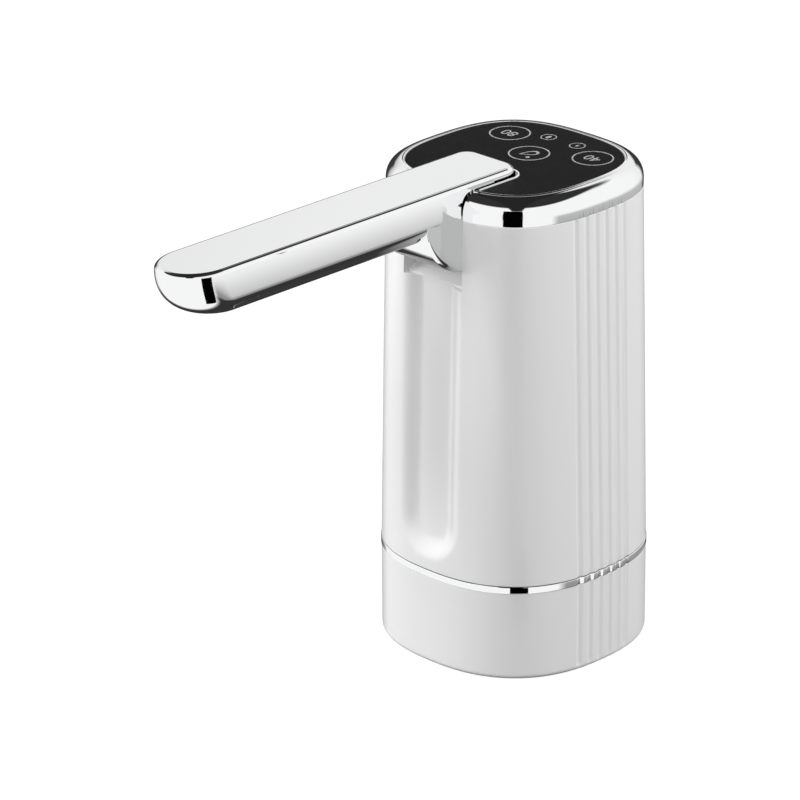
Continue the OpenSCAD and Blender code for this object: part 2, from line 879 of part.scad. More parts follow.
// Outline of the arm at a height above the underside: square rear end, elliptical tip
function arm_level(h) = let (
    w = arm_half - arm_inset(h),
    l = tip_len * w / arm_half,
    s = arm_reach - arm_sweep(h) - l,
    z = arm_bot + h
) concat(
    [[-w, hy + barrel_r, z]],
    [for (k = [12:-1:-12]) [-w * sin(7.5 * k), -s - l * cos(7.5 * k), z]],
    [[w, hy + barrel_r, z]]
);

module arm_bar() {
    rest = arm_h - cover_t - arm_round;
    stack([
        for (k = [0:6]) arm_level(arm_round * (1 - cos(15 * k))),
        for (k = [1:3]) arm_level(arm_round + rest * k / 3)
    ]);
}

// Lug under the arm: hinge barrel with the swelling front and a block up to the arm
module lug() {
    d = [cos(lug_turn), sin(lug_turn)];
    translate([-arm_half, 0, 0])
        rotate([90, 0, 90])
            linear_extrude(arm_w) {
                translate([hy, hz])
                    circle(barrel_r);
                translate([hy, hz])
                    square([barrel_r, arm_top - cover_t - 1 - hz]);
                intersection() {
                    translate(lug_c)
                        circle(lug_r);
                    polygon([
                        [hy, hz], [hy, hz] + 40 * d, [hy - 60, hz - 40],
                        [hy - 60, arm_bot + 4], [hy, arm_bot + 4]
                    ]);
                }
            }
}

// Outline of the arm seen from above, from the rounded rear to the tip
module arm_plan() {
    straight = arm_reach - tip_len;
    translate([0, (tail_y - straight) / 2 - 8])
        intersection() {
            rounded(arm_w, tail_y + straight + 16, 4.5);
            translate([0, 8])
                square([arm_w + 1, tail_y + straight], center = true);
        }
    polygon([for (i = [-12:12]) let (t = 90 * i / 12, y = straight + tip_len * max(cos(t), 0))
        [arm_half * sin(t), e - y]]);
}

// Spout body: trough, lug with pin bores and water duct, thin tail over the notch
module spout_arm() {
    rise = atan2(duct_z - port_z, 26);
    color("silver")
        difference() {
            union() {
                arm_bar();
                lug();
                translate([0, 0, tail_z])
                    linear_extrude(arm_top - cover_t - tail_z)
                        intersection() {
                            arm_plan();
                            translate([0, -20])
                                square(40, center = true);
                        }
            }
            block(2.2 - arm_half, arm_half - 2.2, 13.5 - arm_reach, hy - 19, duct_z - tube_out - 0.1, arm_top);
            translate([0, hy + barrel_r + 1, port_z])
                rotate([90 - rise, 0, 0])
                    translate([0, 0, -1])
                        cylinder(r = tube_in, h = 36);
            along_y(0, duct_z, tube_out, hy - 20, hy - 14);
            for (s = [-1, 1])
                scale([s, 1, 1])
                    along_x(hy, hz, pin_r, arm_half - 4, arm_half + 1);
            along_z(0, -outlet_reach, 4.5, arm_bot - 1, duct_z);
        }
}

module spout_cover() {
    color("silver")
        translate([0, 0, arm_top - cover_t])
            linear_extrude(cover_t)
                arm_plan();
}

// Water path in the arm: along the trough and down to the outlet
module duct(r, more) {
    b = tube_out + 0.2;
    along_y(0, duct_z, r, b - outlet_reach, hy - 14 + more);
    tube_bend(b - outlet_reach, duct_z - b, b, r, 90);
    along_z(0, -outlet_reach, r, arm_bot + 1.2 - more, duct_z - b);
}

module spout_tube() {
    color("gainsboro")
        difference() {
            duct(tube_out, 0);
            duct(tube_in, 1);
        }
}

module outlet_nozzle() {
    top = duct_z - tube_out - 0.1;
    color("dimgray")
        difference() {
            along_z(0, -outlet_reach, 4.5, arm_bot - 0.8, top);
            along_z(0, -outlet_reach, tube_out, arm_bot + 1.2, top + 1);
            along_z(0, -outlet_reach, tube_in + 0.3, arm_bot - 2, top);
        }
}

base_shell();
neck_socket();
neck_seal();
inlet_fitting();
inlet_tube();
base_screws();
trim_band();
upper_shell();
top_bezel();
touch_panel();
notch_trim();
control_board();
touch_springs();
indicator_leds();
pump_body();
pump_cover();
drive_gear();
idler_gear();
idler_pin();
shaft_seal();
pump_screws();
pump_mount_screws();
motor_can();
motor_cap();
motor_rotor();
outlet_tube();
battery_cell();
battery_holder();
charge_board();
charge_socket();
board_screws();
hinge_cradle();
cradle_screws();
port_seal();
hinge_pins();
hinge_keepers();
spout_arm();
spout_cover();
spout_tube();
outlet_nozzle();
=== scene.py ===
"""Looks of an electric water jug pump: white fluted housing, chrome trim, touch panel, folding spout."""

import json
import logging
import math
from dataclasses import dataclass
from enum import Enum
from typing import Optional, Sequence, Union

import bmesh
import bpy
from mathutils import Matrix, Vector


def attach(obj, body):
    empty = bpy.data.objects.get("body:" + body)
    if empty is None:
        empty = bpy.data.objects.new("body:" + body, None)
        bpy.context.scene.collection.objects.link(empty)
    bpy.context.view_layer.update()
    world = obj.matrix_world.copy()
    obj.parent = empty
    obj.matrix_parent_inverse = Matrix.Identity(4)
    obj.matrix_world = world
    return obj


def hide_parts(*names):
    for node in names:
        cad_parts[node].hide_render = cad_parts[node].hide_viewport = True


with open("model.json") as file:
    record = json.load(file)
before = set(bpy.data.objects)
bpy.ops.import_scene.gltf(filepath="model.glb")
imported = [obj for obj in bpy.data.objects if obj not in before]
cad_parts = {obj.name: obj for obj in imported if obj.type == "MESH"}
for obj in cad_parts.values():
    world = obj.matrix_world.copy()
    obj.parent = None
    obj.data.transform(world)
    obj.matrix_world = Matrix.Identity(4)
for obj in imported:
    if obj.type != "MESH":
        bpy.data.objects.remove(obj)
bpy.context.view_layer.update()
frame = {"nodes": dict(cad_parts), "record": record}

LOG = logging.getLogger("jug_pump")
MM = 0.001
CORNERS = ((-1, -1), (-1, 1), (1, -1), (1, 1))
Point = tuple[float, float, float]
Plan = list[tuple[float, float]]
Obj = bpy.types.Object
Tree = bpy.types.NodeTree
Node = bpy.types.Node
Wire = tuple[Node, str, Node, Union[str, int]]


class Body(Enum):
    """Moving groups of the CAD frame that carry dressed pieces."""

    HOUSING = "housing"
    SPOUT = "spout"


class Slot(Enum):
    """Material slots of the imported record."""

    WHITE = "white_plastic"
    CHROME = "chrome_plate"
    PANEL = "black_panel"
    SEAL = "soft_seal"
    TUBE = "soft_tube"
    STEEL = "steel"
    BOARD = "circuit_board"
    CONTACT = "copper"
    LENS = "lamp_lens"
    PUMP = "pump_plastic"
    GEAR = "gear_plastic"
    DARK = "dark_plastic"
    CELL = "cell_wrap"


# Nodes


def add(tree: Tree, kind: str, values: Optional[dict[str, object]] = None, **settings: object) -> Node:
    """Add a node to a tree.

    Args:
        tree: The node tree.
        kind: Type of the node.
        values: Default values of its inputs.
        settings: Its own properties, set before the values.

    Returns:
        The node.
    """
    node = tree.nodes.new(kind)
    for label, setting in settings.items():
        setattr(node, label, setting)
    for label, value in (values or {}).items():
        node.inputs[label].default_value = value
    return node


def wire(tree: Tree, *wires: Wire) -> None:
    """Link sockets, each wire given as source node, output, target node and input."""
    for source, out, target, into in wires:
        tree.links.new(source.outputs[out], target.inputs[into])


def new_group(name: str, inputs: dict[str, float], outputs: dict[str, str]) -> Tree:
    """Start a shader node group with float inputs and typed outputs.

    Args:
        name: Name of the group.
        inputs: Input names with their default values.
        outputs: Output names with their socket types.

    Returns:
        The tree with its group input and output nodes placed.
    """
    tree = bpy.data.node_groups.new(name, "ShaderNodeTree")
    for label, value in inputs.items():
        tree.interface.new_socket(label, in_out="INPUT", socket_type="NodeSocketFloat").default_value = value
    for label, kind in outputs.items():
        tree.interface.new_socket(label, in_out="OUTPUT", socket_type=kind)
    add(tree, "NodeGroupInput", name="In")
    add(tree, "NodeGroupOutput", name="Out")
    return tree


def surface_group() -> Tree:
    """Build the moulded-surface group: slow tone drift, roughness smudges and a fine peel bump.

    Returns:
        The node group, with outputs Tone, Smudge and Normal.
    """
    tree = new_group(
        "MouldedSurface",
        {"Drift Scale": 18.0, "Smudge Scale": 60.0, "Peel Scale": 900.0, "Peel Strength": 0.02},
        {"Tone": "NodeSocketFloat", "Smudge": "NodeSocketFloat", "Normal": "NodeSocketVector"},
    )
    coords = add(tree, "ShaderNodeTexCoord")
    source, sink = tree.nodes["In"], tree.nodes["Out"]
    for label, scale, detail in (("Tone", "Drift Scale", 2.0), ("Smudge", "Smudge Scale", 5.0)):
        noise = add(tree, "ShaderNodeTexNoise", {"Detail": detail})
        wire(tree, (coords, "Object", noise, "Vector"), (source, scale, noise, "Scale"))
        wire(tree, (noise, "Fac", sink, label))
    peel = add(tree, "ShaderNodeTexNoise", {"Detail": 1.0})
    bump = add(tree, "ShaderNodeBump", {"Distance": 0.00005})
    wire(
        tree, (coords, "Object", peel, "Vector"), (source, "Peel Scale", peel, "Scale"),
        (peel, "Fac", bump, "Height"), (source, "Peel Strength", bump, "Strength"),
        (bump, "Normal", sink, "Normal"),
    )
    return tree


# Finishes


def new_material(name: str) -> bpy.types.Material:
    """Start a material with nodes.

    Args:
        name: Name of the material.

    Returns:
        The material, with its Principled shader placed.
    """
    mat = bpy.data.materials.new(name)
    mat.use_nodes = True
    return mat


@dataclass(frozen=True)
class Finish:
    """A procedural finish built on the shared moulded-surface group."""

    name: str
    dark: Point
    light: Point
    rough: tuple[float, float]
    metallic: float = 0.0
    coat: float = 0.0
    coat_rough: float = 0.03
    specular: float = 0.5
    subsurface: float = 0.0
    scatter: float = 0.002
    drift: float = 18.0
    smudge: float = 60.0
    peel: float = 900.0
    peel_strength: float = 0.02
    # Painted reflection: glow strengths, low and high, that stand in for this finish where chrome mirrors it,
    # and the heights in metres over which the glow brightens.
    painted_reflection: Optional[tuple[float, float]] = None
    painted_reflection_z: tuple[float, float] = (0.095, 0.120)

    def material(self, group: Tree) -> bpy.types.Material:
        """Make the material.

        Args:
            group: The moulded-surface group.

        Returns:
            A Principled material with colour, roughness and normal from the group.
        """
        mat = new_material(self.name)
        tree = mat.node_tree
        shader = tree.nodes["Principled BSDF"]
        scales = {
            "Drift Scale": self.drift, "Smudge Scale": self.smudge,
            "Peel Scale": self.peel, "Peel Strength": self.peel_strength,
        }
        surface = add(tree, "ShaderNodeGroup", scales, node_tree=group)
        mix = add(tree, "ShaderNodeMix", {"A": (*self.dark, 1.0), "B": (*self.light, 1.0)}, data_type="RGBA")
        rough = add(tree, "ShaderNodeMapRange", {"To Min": self.rough[0], "To Max": self.rough[1]})
        wire(
            tree, (surface, "Tone", mix, "Factor"), (mix, "Result", shader, "Base Color"),
            (surface, "Smudge", rough, "Value"), (rough, "Result", shader, "Roughness"),
            (surface, "Normal", shader, "Normal"),
        )
        looks = {
            "Metallic": self.metallic, "Coat Weight": self.coat, "Coat Roughness": self.coat_rough,
            "Specular IOR Level": self.specular, "Subsurface Weight": self.subsurface,
            "Subsurface Scale": self.scatter,
        }
        for label, value in looks.items():
            shader.inputs[label].default_value = value
        # Swap in the painted reflection glow for glossy rays.
        if self.painted_reflection:
            self.dim(tree)
        return mat

    def dim(self, tree: Tree) -> None:
        """Paint the finish's reflection: where chrome mirrors it, an emission glow stands in for the surface,
        its strength painted by height between two levels, as on the retouched photograph.

        Args:
            tree: The material's nodes.
        """
        coords, parts = add(tree, "ShaderNodeTexCoord"), add(tree, "ShaderNodeSeparateXYZ")
        (low, high), (dull, bright) = self.painted_reflection_z, self.painted_reflection
        spans = {"From Min": low, "From Max": high, "To Min": dull, "To Max": bright}
        level = add(tree, "ShaderNodeMapRange", spans)
        # Glossy rays see this emission instead of the surface: a painted reflection whose strength follows
        # height.
        glow, seen = add(tree, "ShaderNodeEmission"), add(tree, "ShaderNodeLightPath")
        pick = add(tree, "ShaderNodeMixShader")
        wire(
            tree, (coords, "Object", parts, "Vector"), (parts, "Z", level, "Value"),
            (level, "Result", glow, "Strength"), (seen, "Is Glossy Ray", pick, "Fac"),
            (tree.nodes["Principled BSDF"], "BSDF", pick, 1), (glow, "Emission", pick, 2),
            (pick, "Shader", tree.nodes["Material Output"], "Surface"),
        )


def grey(level: float) -> Point:
    """Return a neutral colour."""
    return level, level, level


FINISHES: dict[Slot, Finish] = {
    # White plastic as chrome mirrors it is a painted reflection: a glow painted dark below 95 mm (0.04) and
    # bright above 120 mm (0.5).
    Slot.WHITE: Finish(
        "white_gloss", grey(0.815), grey(0.83), (0.27, 0.30), coat=0.2, coat_rough=0.1,
        drift=9.0, smudge=45.0, peel=500.0, peel_strength=0.008, painted_reflection=(0.04, 0.5),
    ),
    Slot.CHROME: Finish(
        "bright_chrome", (0.90, 0.905, 0.91), (0.93, 0.93, 0.935), (0.03, 0.07), metallic=1.0,
        drift=30.0, smudge=120.0, peel=700.0, peel_strength=0.004,
    ),
    # The black panel as chrome mirrors it is a painted reflection: an even mid-grey glow (0.5) in place of
    # its black.
    Slot.PANEL: Finish(
        "panel_black", (0.003, 0.003, 0.0033), (0.010, 0.010, 0.0105), (0.22, 0.34), specular=0.012,
        drift=900.0, smudge=160.0, peel=2200.0, peel_strength=0.05, painted_reflection=(0.5, 0.5),
    ),
    Slot.SEAL: Finish("soft_seal_grey", (0.10, 0.10, 0.105), (0.14, 0.14, 0.145), (0.55, 0.70), drift=80.0),
    Slot.TUBE: Finish(
        "milky_tube", (0.66, 0.67, 0.66), (0.74, 0.75, 0.74), (0.30, 0.42), subsurface=0.3, drift=40.0,
    ),
    Slot.STEEL: Finish(
        "turned_steel", (0.50, 0.50, 0.51), (0.62, 0.62, 0.63), (0.22, 0.38), metallic=1.0,
        drift=400.0, smudge=300.0, peel=1500.0, peel_strength=0.04,
    ),
    Slot.BOARD: Finish(
        "board_green", (0.008, 0.055, 0.022), (0.014, 0.085, 0.034), (0.30, 0.45), coat=0.3,
        drift=500.0, smudge=700.0, peel=2500.0, peel_strength=0.1,
    ),
    Slot.CONTACT: Finish(
        "contact_gold", (0.72, 0.48, 0.18), (0.82, 0.58, 0.26), (0.20, 0.32), metallic=1.0, drift=300.0,
    ),
    Slot.LENS: Finish(
        "lamp_lens_milky", (0.74, 0.73, 0.68), (0.82, 0.80, 0.75), (0.20, 0.30), subsurface=0.4, drift=500.0,
    ),
    Slot.PUMP: Finish(
        "pump_grey", (0.40, 0.41, 0.42), (0.46, 0.47, 0.48), (0.42, 0.55), drift=70.0, peel_strength=0.15,
    ),
    Slot.GEAR: Finish(
        "acetal_natural", (0.72, 0.70, 0.62), (0.80, 0.78, 0.70), (0.30, 0.42), subsurface=0.2, drift=120.0,
    ),
    Slot.DARK: Finish(
        "moulding_black", (0.012, 0.012, 0.013), (0.022, 0.022, 0.023), (0.38, 0.52), drift=60.0,
        peel=1800.0, peel_strength=0.2,
    ),
    Slot.CELL: Finish(
        "cell_wrap_blue", (0.03, 0.10, 0.22), (0.05, 0.14, 0.28), (0.20, 0.30), coat=0.3, drift=25.0,
    ),
}
PRINT = Finish("panel_print", grey(0.30), grey(0.40), (0.45, 0.60), drift=900.0, smudge=900.0)


class Finishes:
    """All materials of the pump, made once, and the placing of finished pieces."""

    def __init__(self) -> None:
        """Build the shared group and one material for each slot."""
        group = surface_group()
        self.by_slot = {slot: finish.material(group) for slot, finish in FINISHES.items()}
        self.print_ink = PRINT.material(group)

    def of(self, slot: Slot) -> bpy.types.Material:
        """Return the material of a slot."""
        return self.by_slot[slot]

    def place(
        self, obj: Obj, body: Body, slot: Slot, stands_for: Sequence[str] = (),
        material: Optional[bpy.types.Material] = None,
    ) -> None:
        """Give a finished piece its material, picked by its slot unless given, attach it to its body and hide
        the CAD nodes it stands for.

        Args:
            obj: The finished mesh at the origin.
            body: CAD body it moves with.
            slot: Record slot of its finish.
            stands_for: CAD nodes it replaces.
            material: Blender material, where it isn't the slot's own.
        """
        obj.data.materials.clear()
        obj.data.materials.append(material or self.of(slot))
        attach(obj, body.value)
        if stands_for:
            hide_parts(*stands_for)
        LOG.info("piece %s on %s, %d faces", obj.name, body.value, len(obj.data.polygons))


# Mesh helpers


def link(name: str, data: bpy.types.ID) -> Obj:
    """Put a mesh, text, lamp or camera into the scene as an object at the origin.

    Args:
        name: Name of the new object.
        data: What the object shows.

    Returns:
        The object.
    """
    obj = bpy.data.objects.new(name, data)
    bpy.context.scene.collection.objects.link(obj)
    return obj


def loft(name: str, rings: Sequence[Sequence[Point]], hoop: bool = False) -> Obj:
    """Skin a stack of equal rings into a closed mesh.

    Args:
        name: Name of the new object.
        rings: Sections in millimetres, all with the same number of points.
        hoop: Join the last ring to the first instead of capping both ends.

    Returns:
        The object, with its normals outward.
    """
    count, depth = len(rings[0]), len(rings)
    faces: list[tuple[int, ...]] = []
    for k in range(depth if hoop else depth - 1):
        low, high = k * count, (k + 1) % depth * count
        faces += [(low + j, low + (j + 1) % count, high + (j + 1) % count, high + j) for j in range(count)]
    if not hoop:
        faces += [tuple(range(count))[::-1], tuple(range((depth - 1) * count, depth * count))]
    mesh = bpy.data.meshes.new(name)
    mesh.from_pydata([tuple(c * MM for c in p) for ring in rings for p in ring], [], faces)
    work = bmesh.new()
    work.from_mesh(mesh)
    bmesh.ops.recalc_face_normals(work, faces=work.faces)
    work.to_mesh(mesh)
    work.free()
    return link(name, mesh)


def prism(name: str, plan: Plan, low: float, high: float, axis: str = "Z") -> Obj:
    """Extrude a plan outline along an axis.

    Args:
        name: Name of the new object.
        plan: Outline; (x, y) for Z, (x, z) for Y and (y, z) for X, in millimetres.
        low: Start on the axis.
        high: End on the axis.
        axis: X, Y or Z.

    Returns:
        The closed object.
    """
    i, j, k = {"X": (2, 0, 1), "Y": (0, 2, 1), "Z": (0, 1, 2)}[axis]
    places = [[(u, v, w) for u, v in plan] for w in (low, high)]
    return loft(name, [[(p[i], p[j], p[k]) for p in ring] for ring in places])


def slab(low: Point, high: Point) -> Obj:
    """Make a rectangular tool between two corners."""
    plan = [(low[0], low[1]), (high[0], low[1]), (high[0], high[1]), (low[0], high[1])]
    return prism("slab", plan, low[2], high[2])


def disc_plan(u: float, v: float, radius: float, steps: int = 48) -> Plan:
    """Return a circle as a plan outline."""
    turns = [2 * math.pi * i / steps for i in range(steps)]
    return [(u + radius * math.cos(t), v + radius * math.sin(t)) for t in turns]


def rounded_plan(width: float, length: float, radius: float, back: float, steps: int = 12) -> Plan:
    """Outline a rectangle with rounded corners that ends at a given back edge.

    Args:
        width: Width in x.
        length: Length in y.
        radius: Corner radius.
        back: Largest y of the outline.
        steps: Segments for each corner.

    Returns:
        The outline, counter-clockwise.
    """
    plan: Plan = []
    for turn, (sx, sy) in enumerate(((1, 0), (1, 1), (-1, 1), (-1, 0))):
        centre = (sx * (width / 2 - radius), back - radius if sy else back - length + radius)
        for i in range(steps + 1):
            a = math.pi / 2 * (turn - 1 + i / steps)
            plan.append((centre[0] + radius * math.cos(a), centre[1] + radius * math.sin(a)))
    return plan


def left_normals(plan: Plan) -> Plan:
    """Return the unit normals of a closed outline, to the left of its run.

    Args:
        plan: The outline.

    Returns:
        One normal for each point.
    """
    normals = []
    for i in range(len(plan)):
        (u0, v0), (u1, v1) = plan[i - 1], plan[(i + 1) % len(plan)]
        length = math.hypot(u1 - u0, v1 - v0)
        normals.append((-(v1 - v0) / length, (u1 - u0) / length))
    return normals


def eased(u: float) -> float:
    """Return a smooth step from 0 to 1."""
    u = min(max(u, 0.0), 1.0)
    return u * u * (3 - 2 * u)


def quarter(steps: int) -> list[tuple[float, float]]:
    """Return cosine and sine pairs for a quarter turn."""
    return [(math.cos(math.pi / 2 * i / steps), math.sin(math.pi / 2 * i / steps)) for i in range(steps + 1)]


def bake(obj: Obj) -> Obj:
    """Turn an object and its modifiers into a plain mesh.

    Args:
        obj: The object.

    Returns:
        The same object, with its modifiers applied.
    """
    mesh = bpy.data.meshes.new_from_object(obj.evaluated_get(bpy.context.evaluated_depsgraph_get()))
    old = obj.data
    obj.modifiers.clear()
    obj.data = mesh
    bpy.data.meshes.remove(old)
    mesh.name = obj.name
    return obj


def drop(objects: Sequence[Obj]) -> None:
    """Remove mesh objects together with their meshes.

    Args:
        objects: The objects.
    """
    for obj in objects:
        mesh = obj.data
        bpy.data.objects.remove(obj)
        bpy.data.meshes.remove(mesh)


def shape(obj: Obj, operation: str, tools: Sequence[Obj]) -> Obj:
    """Add tools to a piece or cut them out of it, then drop the tools.

    Args:
        obj: The piece.
        operation: UNION or DIFFERENCE.
        tools: Closed tool meshes.

    Returns:
        The changed piece.
    """
    for tool in tools:
        step = obj.modifiers.new("shape", "BOOLEAN")
        step.operation, step.solver, step.object = operation, "EXACT", tool
    bake(obj)
    drop(tools)
    return obj


def edged(obj: Obj, width: float, segments: int, angle: float = 40.0) -> Obj:
    """Round the sharp edges of a piece.

    Args:
        obj: The piece.
        width: Width of the rounding in millimetres.
        segments: Faces across it.
        angle: Least angle of an edge that counts as sharp.

    Returns:
        The changed piece.
    """
    step = obj.modifiers.new("edges", "BEVEL")
    step.limit_method, step.angle_limit = "ANGLE", math.radians(angle)
    step.width, step.segments = width * MM, segments
    return bake(obj)


def shaded(obj: Obj, angle: float = 35.0) -> Obj:
    """Shade a piece smooth, with normals that keep its large faces flat.

    Args:
        obj: The piece.
        angle: Greatest angle of an edge that is shaded smooth.

    Returns:
        The changed piece.
    """
    obj.data.shade_smooth()
    obj.data.set_sharp_from_angle(angle=math.radians(angle))
    step = obj.modifiers.new("normals", "WEIGHTED_NORMAL")
    step.keep_sharp, step.weight = True, 60
    return bake(obj)


def merged(name: str, parts: Sequence[Obj]) -> Obj:
    """Join loose parts into one mesh object.

    Args:
        name: Name of the result.
        parts: Mesh objects at the origin, dropped after use.

    Returns:
        The joined object.
    """
    work = bmesh.new()
    for part in parts:
        work.from_mesh(part.data)
    mesh = bpy.data.meshes.new(name)
    work.to_mesh(mesh)
    work.free()
    drop(parts)
    return link(name, mesh)


# Housing


@dataclass(frozen=True)
class Section:
    """One level of the body: half width, squareness, height and how much of flutes and recess it shows."""

    half: float
    power: float
    z: float
    flutes: float = 0.0
    recess: float = 0.0


@dataclass
class Housing:
    """White fluted body: base ring, chrome trim band and drafted upper shell."""

    finishes: Finishes
    body_half: float = 34.8
    top_half: float = 32.0
    body_power: float = 2.41
    top_power: float = 2.69
    base_h: float = 26.0
    shell_z: float = 28.1
    top_z: float = 131.8
    wall: float = 2.2
    flange_t: float = 2.0
    foot_r: float = 1.5
    base_r: float = 0.2
    band_r: float = 0.22
    shell_r: float = 0.25
    band_proud: float = 0.15
    flute_count: int = 6
    flute_pitch: float = 3.75
    flute_w: float = 2.6
    flute_d: float = 0.45
    recess_half: float = 4.8
    recess_soft: float = 6.5
    recess_d: float = 2.6
    recess_z: float = 42.1
    recess_top: float = 123.8
    recess_fade: float = 8.0
    slot_half: float = 10.95
    slot_z: float = 111.672
    cradle_y: float = -18.0
    clear_y: float = -40.0
    cheek_t: float = 3.55
    hinge: tuple[float, float] = (-29.0, 127.0)
    pin_bore: float = 1.3
    pin_depth: float = 2.8
    screw_at: float = 22.472
    screw_hole: float = 1.3
    screw_bore: float = 1.0
    boss_r: float = 3.0
    boss_h: float = 24.0
    socket_z: float = 62.0
    port: Point = (9.4, 3.7, 1.65)
    port_y: tuple[float, float] = (29.0, 37.0)
    stud_at: tuple[float, float] = (6.2, 6.0)
    stud_r: float = 1.9
    stud_y: float = 29.8
    neck_r: float = 29.0
    corner_steps: int = 26

    def __post_init__(self) -> None:
        """Work out where each ring is sampled."""
        flutes = [(i - (self.flute_count - 1) / 2) * self.flute_pitch for i in range(self.flute_count)]
        flat = self.flute_count * self.flute_pitch / 2 + 1
        near = [f + self.flute_w / 2 * k / 5 for f in flutes for k in range(-5, 6)]
        between = [f + self.flute_pitch * (0.5 + 0.13 * k) for f in flutes[:-1] for k in (-1, 0, 1)]
        edge = self.recess_half + self.recess_soft
        rim = [self.recess_half - 0.6 + (edge + 1.2 - self.recess_half) * k / 16 for k in range(17)]
        half = [0.0, 1.5, 3.0, 4.5, *rim, edge + 1.6]
        self.flutes = flutes
        self.edge = edge
        self.side_ys = sorted([-flat, -flat + 0.6, flat - 0.6, flat, *near, *between])
        self.front_xs = sorted({s * x for s in (-1, 1) for x in half})
        self.back_xs = [(edge + 1.6) * k / 8 for k in range(8, -9, -1)]

    def half_at(self, z: float) -> float:
        """Return the half width of the drafted shell at a height."""
        share = (z - self.shell_z) / (self.top_z - self.shell_z)
        return self.body_half - share * (self.body_half - self.top_half)

    def power_at(self, z: float) -> float:
        """Return the squareness of the drafted shell at a height."""
        share = (z - self.shell_z) / (self.top_z - self.shell_z)
        return self.body_power + share * (self.top_power - self.body_power)

    def flute(self, y: float) -> float:
        """Return the depth of the nearest flute at a place across the side."""
        off = min(abs(y - f) for f in self.flutes) / (self.flute_w / 2)
        return self.flute_d * 0.5 * (1 + math.cos(math.pi * off)) if off < 1 else 0.0

    def recess(self, x: float, z: float) -> float:
        """Work out the depth of the soft front recess.

        Args:
            x: Place across the front.
            z: Height.

        Returns:
            The depth there.
        """
        radius = abs(x) if z >= self.recess_z else math.hypot(x, self.recess_z - z)
        fade = eased((self.recess_top - z) / self.recess_fade)
        return self.recess_d * eased((self.edge - radius) / self.recess_soft) * fade

    def ring(self, s: Section) -> list[Point]:
        """Trace one body section.

        Args:
            s: The section.

        Returns:
            Its points, counter-clockwise seen from above.
        """
        a, n = s.half, s.power

        def across(v: float) -> float:
            """Return the half width at a place across the section."""
            return a * (1 - min(abs(v) / a, 1.0) ** n) ** (1 / n)

        start = math.asin((self.side_ys[-1] / a) ** (n / 2))
        end = math.acos((self.back_xs[0] / a) ** (n / 2))
        turns = [start + (end - start) * j / (self.corner_steps + 1) for j in range(1, self.corner_steps + 1)]
        corner = [(a * math.cos(t) ** (2 / n), a * math.sin(t) ** (2 / n)) for t in turns]
        sides = [(across(y) - s.flutes * self.flute(y), y) for y in self.side_ys]
        plan: Plan = [*sides, *corner]
        plan += [(x, across(x)) for x in self.back_xs]
        plan += [(-x, y) for x, y in reversed(corner)]
        plan += [(-x, y) for x, y in reversed(sides)]
        plan += [(-x, -y) for x, y in corner]
        plan += [(x, s.recess * self.recess(x, s.z) - across(x)) for x in self.front_xs]
        plan += [(x, -y) for x, y in reversed(corner)]
        return [(x, y, s.z) for x, y in plan]

    def base(self) -> None:
        """Build the base ring with its rounded foot, flutes and top flange."""
        n, a, r, e, top = self.body_power, self.body_half, self.foot_r, self.base_r, self.base_h
        levels = []
        for i, (c, s) in enumerate(quarter(8)):
            levels.append(Section(a - r * (1 - s), n, r * (1 - c), 0.75 * (i / 8) ** 2))
        levels += [Section(a, n, r + 0.6, 0.9), Section(a, n, 2 * r, 1.0), Section(a, n, 14.0, 1.0)]
        levels += [Section(a - e + e * c, n, top - e + e * s, 1.0) for c, s in quarter(4)]
        levels += [Section(self.neck_r, 2.0, z) for z in (top, top - self.flange_t)]
        levels += [Section(a - self.wall, n, z) for z in (top - self.flange_t, 0.0)]
        piece = loft("base_ring", [self.ring(s) for s in levels], hoop=True)
        holes = [disc_plan(x * self.screw_at, y * self.screw_at, self.screw_hole, 24) for x, y in CORNERS]
        shape(piece, "DIFFERENCE", [prism("hole", plan, top - 3, top + 1) for plan in holes])
        self.finishes.place(shaded(piece), Body.HOUSING, Slot.WHITE, ["base_shell"])

    def band(self) -> None:
        """Build the chrome trim band with softly rounded edges."""
        n, a, r = self.body_power, self.body_half + self.band_proud, self.band_r
        outer = [Section(a - r + r * s, n, self.base_h + r - r * c, 1.0) for c, s in quarter(5)]
        outer += [Section(a - r + r * c, n, self.shell_z - r + r * s, 1.0) for c, s in quarter(5)]
        inner = [Section(a - self.wall, n, z) for z in (self.shell_z, self.base_h)]
        piece = loft("band_ring", [self.ring(s) for s in [*outer, *inner]], hoop=True)
        self.finishes.place(shaded(piece), Body.HOUSING, Slot.CHROME, ["trim_band"])

    def shell(self) -> None:
        """Build the drafted shell with flutes, recess, spout slot, hinge cheeks, bosses and charging port."""
        low, high, r, fade = self.shell_z, self.top_z, self.shell_r, self.recess_fade
        skirt = low + 1.6
        heights = [low + r - r * c for c, _ in quarter(4)]
        heights += [skirt + (self.recess_z - skirt) * (i / 26) ** 1.15 for i in range(27)]
        heights += [self.recess_z + fade, 70.0, 95.0, 110.0]
        heights += [self.recess_top - fade + fade * i / 8 for i in range(9)]
        heights += [high - r + r * s for _, s in quarter(4)]
        outer = []
        for z in heights:
            end = max(0.0, low + r - z, z - high + r)
            inset = r - math.sqrt(max(0.0, r * r - end * end))
            outer.append(Section(self.half_at(z) - inset, self.power_at(z), z, 1.0, 1.0))
        inside = [high, self.recess_top, 118.0, 110.0, 60.0, self.recess_z, 38.0, 34.0, 31.0, low]
        inner = [Section(self.half_at(z) - self.wall, self.power_at(z), z, 0.0, 1.0) for z in inside]
        piece = loft("shell_skin", [self.ring(s) for s in [*outer, *inner]], hoop=True)
        shape(piece, "UNION", self.shell_ribs())
        shape(piece, "DIFFERENCE", self.shell_cutters())
        self.finishes.place(shaded(piece), Body.HOUSING, Slot.WHITE, ["upper_shell"])

